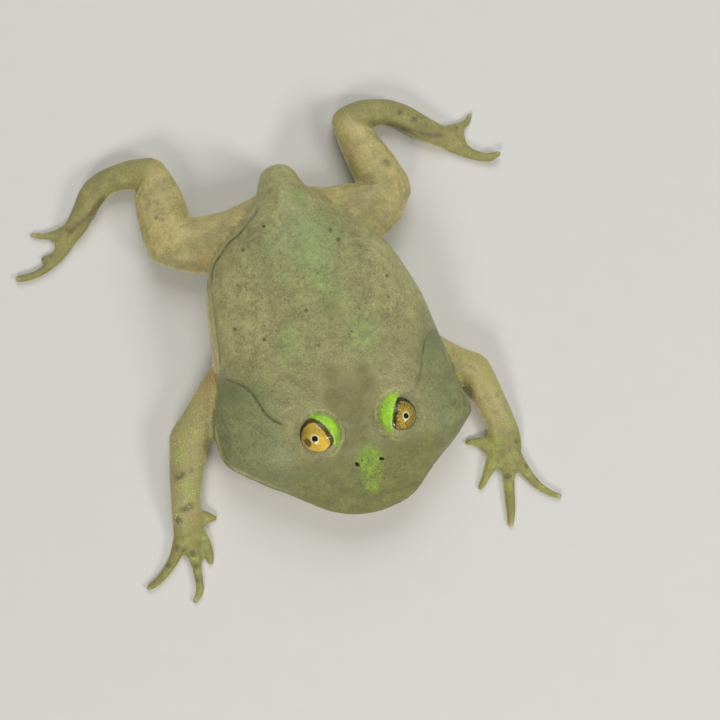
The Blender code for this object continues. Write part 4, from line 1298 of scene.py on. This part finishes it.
@dataclass(frozen=True)
class EyeFinish:
    """Look of one iris, and of the clear cornea over it."""

    colours: IrisColours = IrisColours()
    gold_share: float = 0.72
    veins: float = 0.12
    pupil_size: float = 0.66
    ring: float = 0.34
    rim_start: float = 3.0
    lid_shadow: float = 1.02
    olive_share: float = 0.15
    notch: float = 0.85
    notch_place: tuple[float, float] = (-1.95, 0.35)

    def iris_material(self, lids: Lids) -> bpy.types.Material:
        """Golden iris with veins round a dark pupil, in the eye's own axes, with a painted shadow of
        the upper lid along the lid's edge.

        Args:
            lids: Place and look of the eye.

        Returns:
            The material.
        """
        board = Board(f"iris_{lids.side.word}")
        tone = self.colours
        settings = {"vector_type": "TEXTURE"}
        spot = {"Location": lids.centre, "Rotation": lids.turn().to_euler()}
        here = board.add("ShaderNodeTexCoord", output="Object")
        here = board.add("ShaderNodeMapping", settings, {"Vector": here, **spot})
        here = board.stretch(here, (METRES_TO_MILLIMETRES,) * 3)
        split = board.add("ShaderNodeSeparateXYZ", inputs={0: here})
        across, along = split, Signal(board, split.socket.node.outputs["Y"])
        pupil = (across.size() ** 1.6 + along.size() ** 1.6) ** 0.625
        radius = (across * across + along * along) ** 0.5
        round_x = across / radius.most(0.01)
        round_y = along / radius.most(0.01)
        spokes = {0: round_x, 1: round_y, 2: radius * 0.35}
        spokes = board.add("ShaderNodeCombineXYZ", inputs=spokes)
        streak = board.noise(spokes, 4.5, 4.0, 0.65)
        fleck = board.noise(here, 1.6, 4.0, 0.6)
        gold = streak * 0.6 + fleck * 0.8 + (self.gold_share - 1.2)
        iris = board.mix(gold.step(-0.25, 0.25), tone.amber, tone.gold)
        outer = (radius + fleck.swing(1.5)).step(1.7, 3.1)
        iris = board.mix(outer * self.olive_share, iris, tone.olive)
        off_x, off_y = across - self.notch_place[0], along - self.notch_place[1]
        notch = (off_x * off_x + off_y * off_y) ** 0.5 + fleck.swing(1.2)
        iris = board.mix(notch.step(1.3, 0.6) * self.notch, iris, tone.vein)
        edges = {"feature": "DISTANCE_TO_EDGE"}
        net = board.add("ShaderNodeTexVoronoi", edges, {"Vector": here, "Scale": 1.3})
        veins = (net + streak.swing(0.35)).step(0.14, 0.02) * radius.step(0.8, 1.5)
        iris = board.mix(veins * self.veins, iris, tone.vein)
        iris = board.mix(streak.step(0.42, 0.30) * (self.veins + 0.1), iris, tone.vein)
        border = (radius + fleck.swing(0.3) - (self.rim_start - 0.12)).size()
        iris = board.mix(border.step(0.14, 0.02) * 0.3, iris, tone.ring)
        # Painted shadow of the upper lid: a dark band along its edge, laid together with the iris's
        # dark border.
        upper = lids.turn().transposed() @ lids.upper
        product = {"operation": "DOT_PRODUCT"}
        gap = board.add("ShaderNodeVectorMath", product, {0: here, 1: upper}, "Value")
        shadow = (gap + streak.swing(0.7)).step(self.lid_shadow + 0.12, self.lid_shadow - 0.12)
        rim = (radius + streak.swing(0.5)).step(self.rim_start, self.rim_start + 0.25)
        limbus_and_lid_shadow = board.mix(fleck.step(0.48, 0.66) * 0.6, tone.rim, tone.limbus_and_lid_shadow)
        iris = board.mix(rim.most(shadow) * 0.9, iris, limbus_and_lid_shadow)
        ring_edge = self.pupil_size + self.ring
        ring = (pupil + fleck.swing(0.5)).step(ring_edge + 0.12, ring_edge - 0.08)
        hole = pupil.step(self.pupil_size + 0.04, self.pupil_size - 0.03)
        iris = board.mix(hole, board.mix(ring, iris, tone.ring), tone.pupil)
        return board.finish(Base_Color=iris, Roughness=0.4, Specular_IOR_Level=0.1)

    @staticmethod
    def cornea_material() -> bpy.types.Material:
        """Clear wet shell that only adds its shine."""
        board = Board("cornea")
        clear = board.add("ShaderNodeBsdfTransparent")
        gloss = board.add("ShaderNodeBsdfGlossy", inputs={"Roughness": 0.12})
        share = board.add("ShaderNodeFresnel", inputs={"IOR": 1.38})
        film = board.add("ShaderNodeMixShader", inputs={0: share, 1: clear, 2: gloss})
        output = board.tree.nodes["Material Output"]
        board.feed(output, "Surface", film)
        board.tree.nodes.remove(board.shader)
        return board.material


@dataclass
class Eye:
    """Eyeball with a dished iris and a pupil, under a clear cornea."""

    lids: Lids
    finish: EyeFinish = field(default_factory=EyeFinish)
    dish: float = 0.00030
    iris_angle: float = math.radians(52.0)
    pupil_depth: float = 0.00020
    inset: float = 0.00012

    def build(self) -> tuple[bpy.types.Object, bpy.types.Object]:
        """Make the eyeball and its cornea."""
        return self.eyeball(), self.cornea()

    @staticmethod
    def ball(radius: float, segments: int, rings: int) -> bmesh.types.BMesh:
        """Sphere with its pole up."""
        shape = bmesh.new()
        bmesh.ops.create_uvsphere(shape, u_segments=segments, v_segments=rings, radius=radius)
        return shape

    def place(
        self, name: str, shape: bmesh.types.BMesh, look: bpy.types.Material, *nodes: str
    ) -> bpy.types.Object:
        """Turn a ball to the eye's look and dress it.

        Args:
            name: Start of the piece's name.
            shape: Ball with its pole up.
            look: Material.
            *nodes: Solids that the piece replaces.

        Returns:
            The finished piece.
        """
        turn = Matrix.Translation(self.lids.centre) @ self.lids.turn().to_4x4()
        bmesh.ops.transform(shape, matrix=turn, verts=shape.verts)
        piece = make_piece(f"{name}_{self.lids.side.word}", shape)
        piece.data.materials.append(look)
        settle(piece, "eye", *nodes)
        return piece

    def eyeball(self) -> bpy.types.Object:
        """Opaque ball whose front is dished to an iris and a pupil."""
        radius = self.lids.radius - self.inset
        shape = self.ball(radius, 96, 96)
        for vert in shape.verts:
            angle = math.acos(max(-1.0, min(1.0, vert.co.z / radius)))
            if angle < self.iris_angle:
                share = 1.0 - angle / self.iris_angle
                depth = self.dish * math.sin(0.5 * math.pi * min(1.0, 1.6 * share))
                reach = METRES_TO_MILLIMETRES / self.finish.pupil_size
                if abs(vert.co.x * reach) ** 1.6 + abs(vert.co.y * reach) ** 1.6 < 1.0:
                    depth += self.pupil_depth
                vert.co -= vert.co.normalized() * depth
        look = self.finish.iris_material(self.lids)
        return self.place("eyeball", shape, look, f"eye_{self.lids.side.word}")

    def cornea(self) -> bpy.types.Object:
        """Clear ball round the eyeball."""
        shape = self.ball(self.lids.radius, 64, 48)
        return self.place("cornea", shape, self.finish.cornea_material())


@dataclass(frozen=True)
class HornFinish:
    """Black horn of the digging spades."""

    dark: tuple = srgb(22, 20, 19)
    worn: tuple = srgb(62, 54, 46)

    def material(self) -> bpy.types.Material:
        """Build the horn's material."""
        board = Board("spade_horn")
        grain = board.noise(board.stretch(board.place(), (3.0, 3.0, 0.7)), 1.4, 4.0)
        colour = board.mix(grain.step(0.52, 0.75), self.dark, self.worn)
        return board.finish(
            Base_Color=colour,
            Roughness=grain * 0.25 + 0.2,
            Normal=board.bump(grain, 0.00005, 0.5),
        )


@dataclass
class Spade:
    """Keeled black horn on the inner edge of one hind foot."""

    side: Side
    finish: HornFinish = field(default_factory=HornFinish)
    cuts: int = 5
    smoothing: int = 6

    def build(self) -> bpy.types.Object:
        """Round off the spade's solid."""
        name = f"spade_{self.side.word}"
        shape = solids((name,))
        bmesh.ops.remove_doubles(shape, verts=shape.verts, dist=MERGE_DISTANCE)
        bmesh.ops.subdivide_edges(shape, edges=shape.edges, cuts=self.cuts, use_grid_fill=True)
        relax(shape, shape.verts, self.smoothing)
        piece = make_piece(f"horn_{name}", shape)
        piece.data.materials.append(self.finish.material())
        settle(piece, "spade", name)
        return piece


@dataclass(frozen=True)
class Lamp:
    """One soft square light."""

    name: str
    place: tuple[float, float, float]
    size: float
    power: float
    colour: tuple[float, float, float] = (1.0, 1.0, 1.0)


@dataclass
class Studio:
    """Plain pale floor, soft lights and the photograph's camera."""

    floor_size: float = 3.0
    floor_colour: tuple = srgb(214, 212, 206)
    floor_grain: float = 1.03
    sky: tuple = (0.62, 0.63, 0.65, 1.0)
    sky_strength: float = 0.40
    target: tuple[float, float, float] = (0.00678, -0.00668, 0.010)
    distance: float = 0.250
    tilt: float = math.radians(7.5)
    turn: float = math.radians(16.0)
    frame_half: float = 0.0765
    lamps: tuple[Lamp, ...] = (
        Lamp("front_right", (-0.34, -0.46, 0.44), 0.20, 1.9, (1.0, 0.98, 0.95)),
        Lamp("front_left", (0.40, -0.34, 0.46), 0.20, 1.5, (1.0, 0.99, 0.97)),
        Lamp("rear", (0.12, 0.55, 0.58), 0.50, 3.0, (0.98, 0.98, 1.0)),
    )

    def build(self) -> None:
        """Set the floor, lights, sky and camera."""
        self.floor()
        for lamp in self.lamps:
            self.light(lamp)
        self.air()
        self.camera()

    def floor(self) -> None:
        """Pale matte floor with a faint grain."""
        shape = bmesh.new()
        bmesh.ops.create_grid(shape, x_segments=8, y_segments=8, size=0.5 * self.floor_size)
        floor = make_piece("floor", shape)
        board = Board("pale_floor")
        grain = board.noise(board.place(), 0.2, 5.0)
        lighter = tuple(self.floor_grain * value for value in self.floor_colour[:3]) + (1.0,)
        colour = board.mix(grain, self.floor_colour, lighter)
        floor.data.materials.append(board.finish(Base_Color=colour, Roughness=0.75))

    def light(self, lamp: Lamp) -> None:
        """One area light turned to the frog."""
        data = bpy.data.lights.new(lamp.name, "AREA")
        data.shape = "SQUARE"
        data.size = lamp.size
        data.energy = lamp.power
        data.color = lamp.colour
        item = link(lamp.name, data)
        item.location = lamp.place
        item.rotation_euler = (-Vector(lamp.place)).to_track_quat("-Z", "Y").to_euler()

    def air(self) -> None:
        """Even light from all round."""
        world = bpy.data.worlds.new("studio")
        world.use_nodes = True
        background = world.node_tree.nodes["Background"]
        background.inputs["Color"].default_value = self.sky
        background.inputs["Strength"].default_value = self.sky_strength
        bpy.context.scene.world = world
        bpy.context.scene.view_settings.view_transform = "Standard"

    def camera(self) -> None:
        """Camera nearly straight above, turned as the photograph is."""
        data = bpy.data.cameras.new("camera")
        data.sensor_width = 36.0
        data.lens = 0.5 * data.sensor_width * self.distance / self.frame_half
        data.clip_start = 0.01
        item = link("camera", data)
        look = Vector((math.sin(self.tilt), 0.0, -math.cos(self.tilt)))
        cos, sin = math.cos(self.turn), math.sin(self.turn)
        right = Vector((cos * math.cos(self.tilt), -sin, cos * math.sin(self.tilt)))
        up = right.cross(look)
        place = Vector(self.target) - look * self.distance
        matrix = Matrix((right, up, -look)).transposed().to_4x4()
        item.matrix_world = Matrix.Translation(place) @ matrix
        bpy.context.scene.camera = item


def main() -> None:
    """Build the skin, eyes, spades and studio, and report each piece."""
    logging.basicConfig(level=logging.INFO, format="%(name)s: %(message)s")
    lids = tuple(read_lids(side) for side in (Side.RIGHT, Side.LEFT))
    skin = FrogSkin(lids).build()
    left_iris = EyeFinish(
        IrisColours(gold=srgb(242, 216, 94), amber=srgb(202, 174, 62), olive=srgb(140, 124, 48)),
        gold_share=0.35,
        veins=0.6,
        pupil_size=0.62,
        ring=0.28,
        rim_start=2.95,
        lid_shadow=0.95,
        olive_share=0.7,
        notch=0.0,
    )
    pieces = [skin]
    for place, finish in zip(lids, (EyeFinish(), left_iris)):
        pieces.extend(Eye(place, finish).build())
    pieces.extend(Spade(side).build() for side in Side)
    for piece in pieces:
        LOG.info("%s has %d faces", piece.name, len(piece.data.polygons))
    Studio().build()


if __name__ == "__main__":
    main()
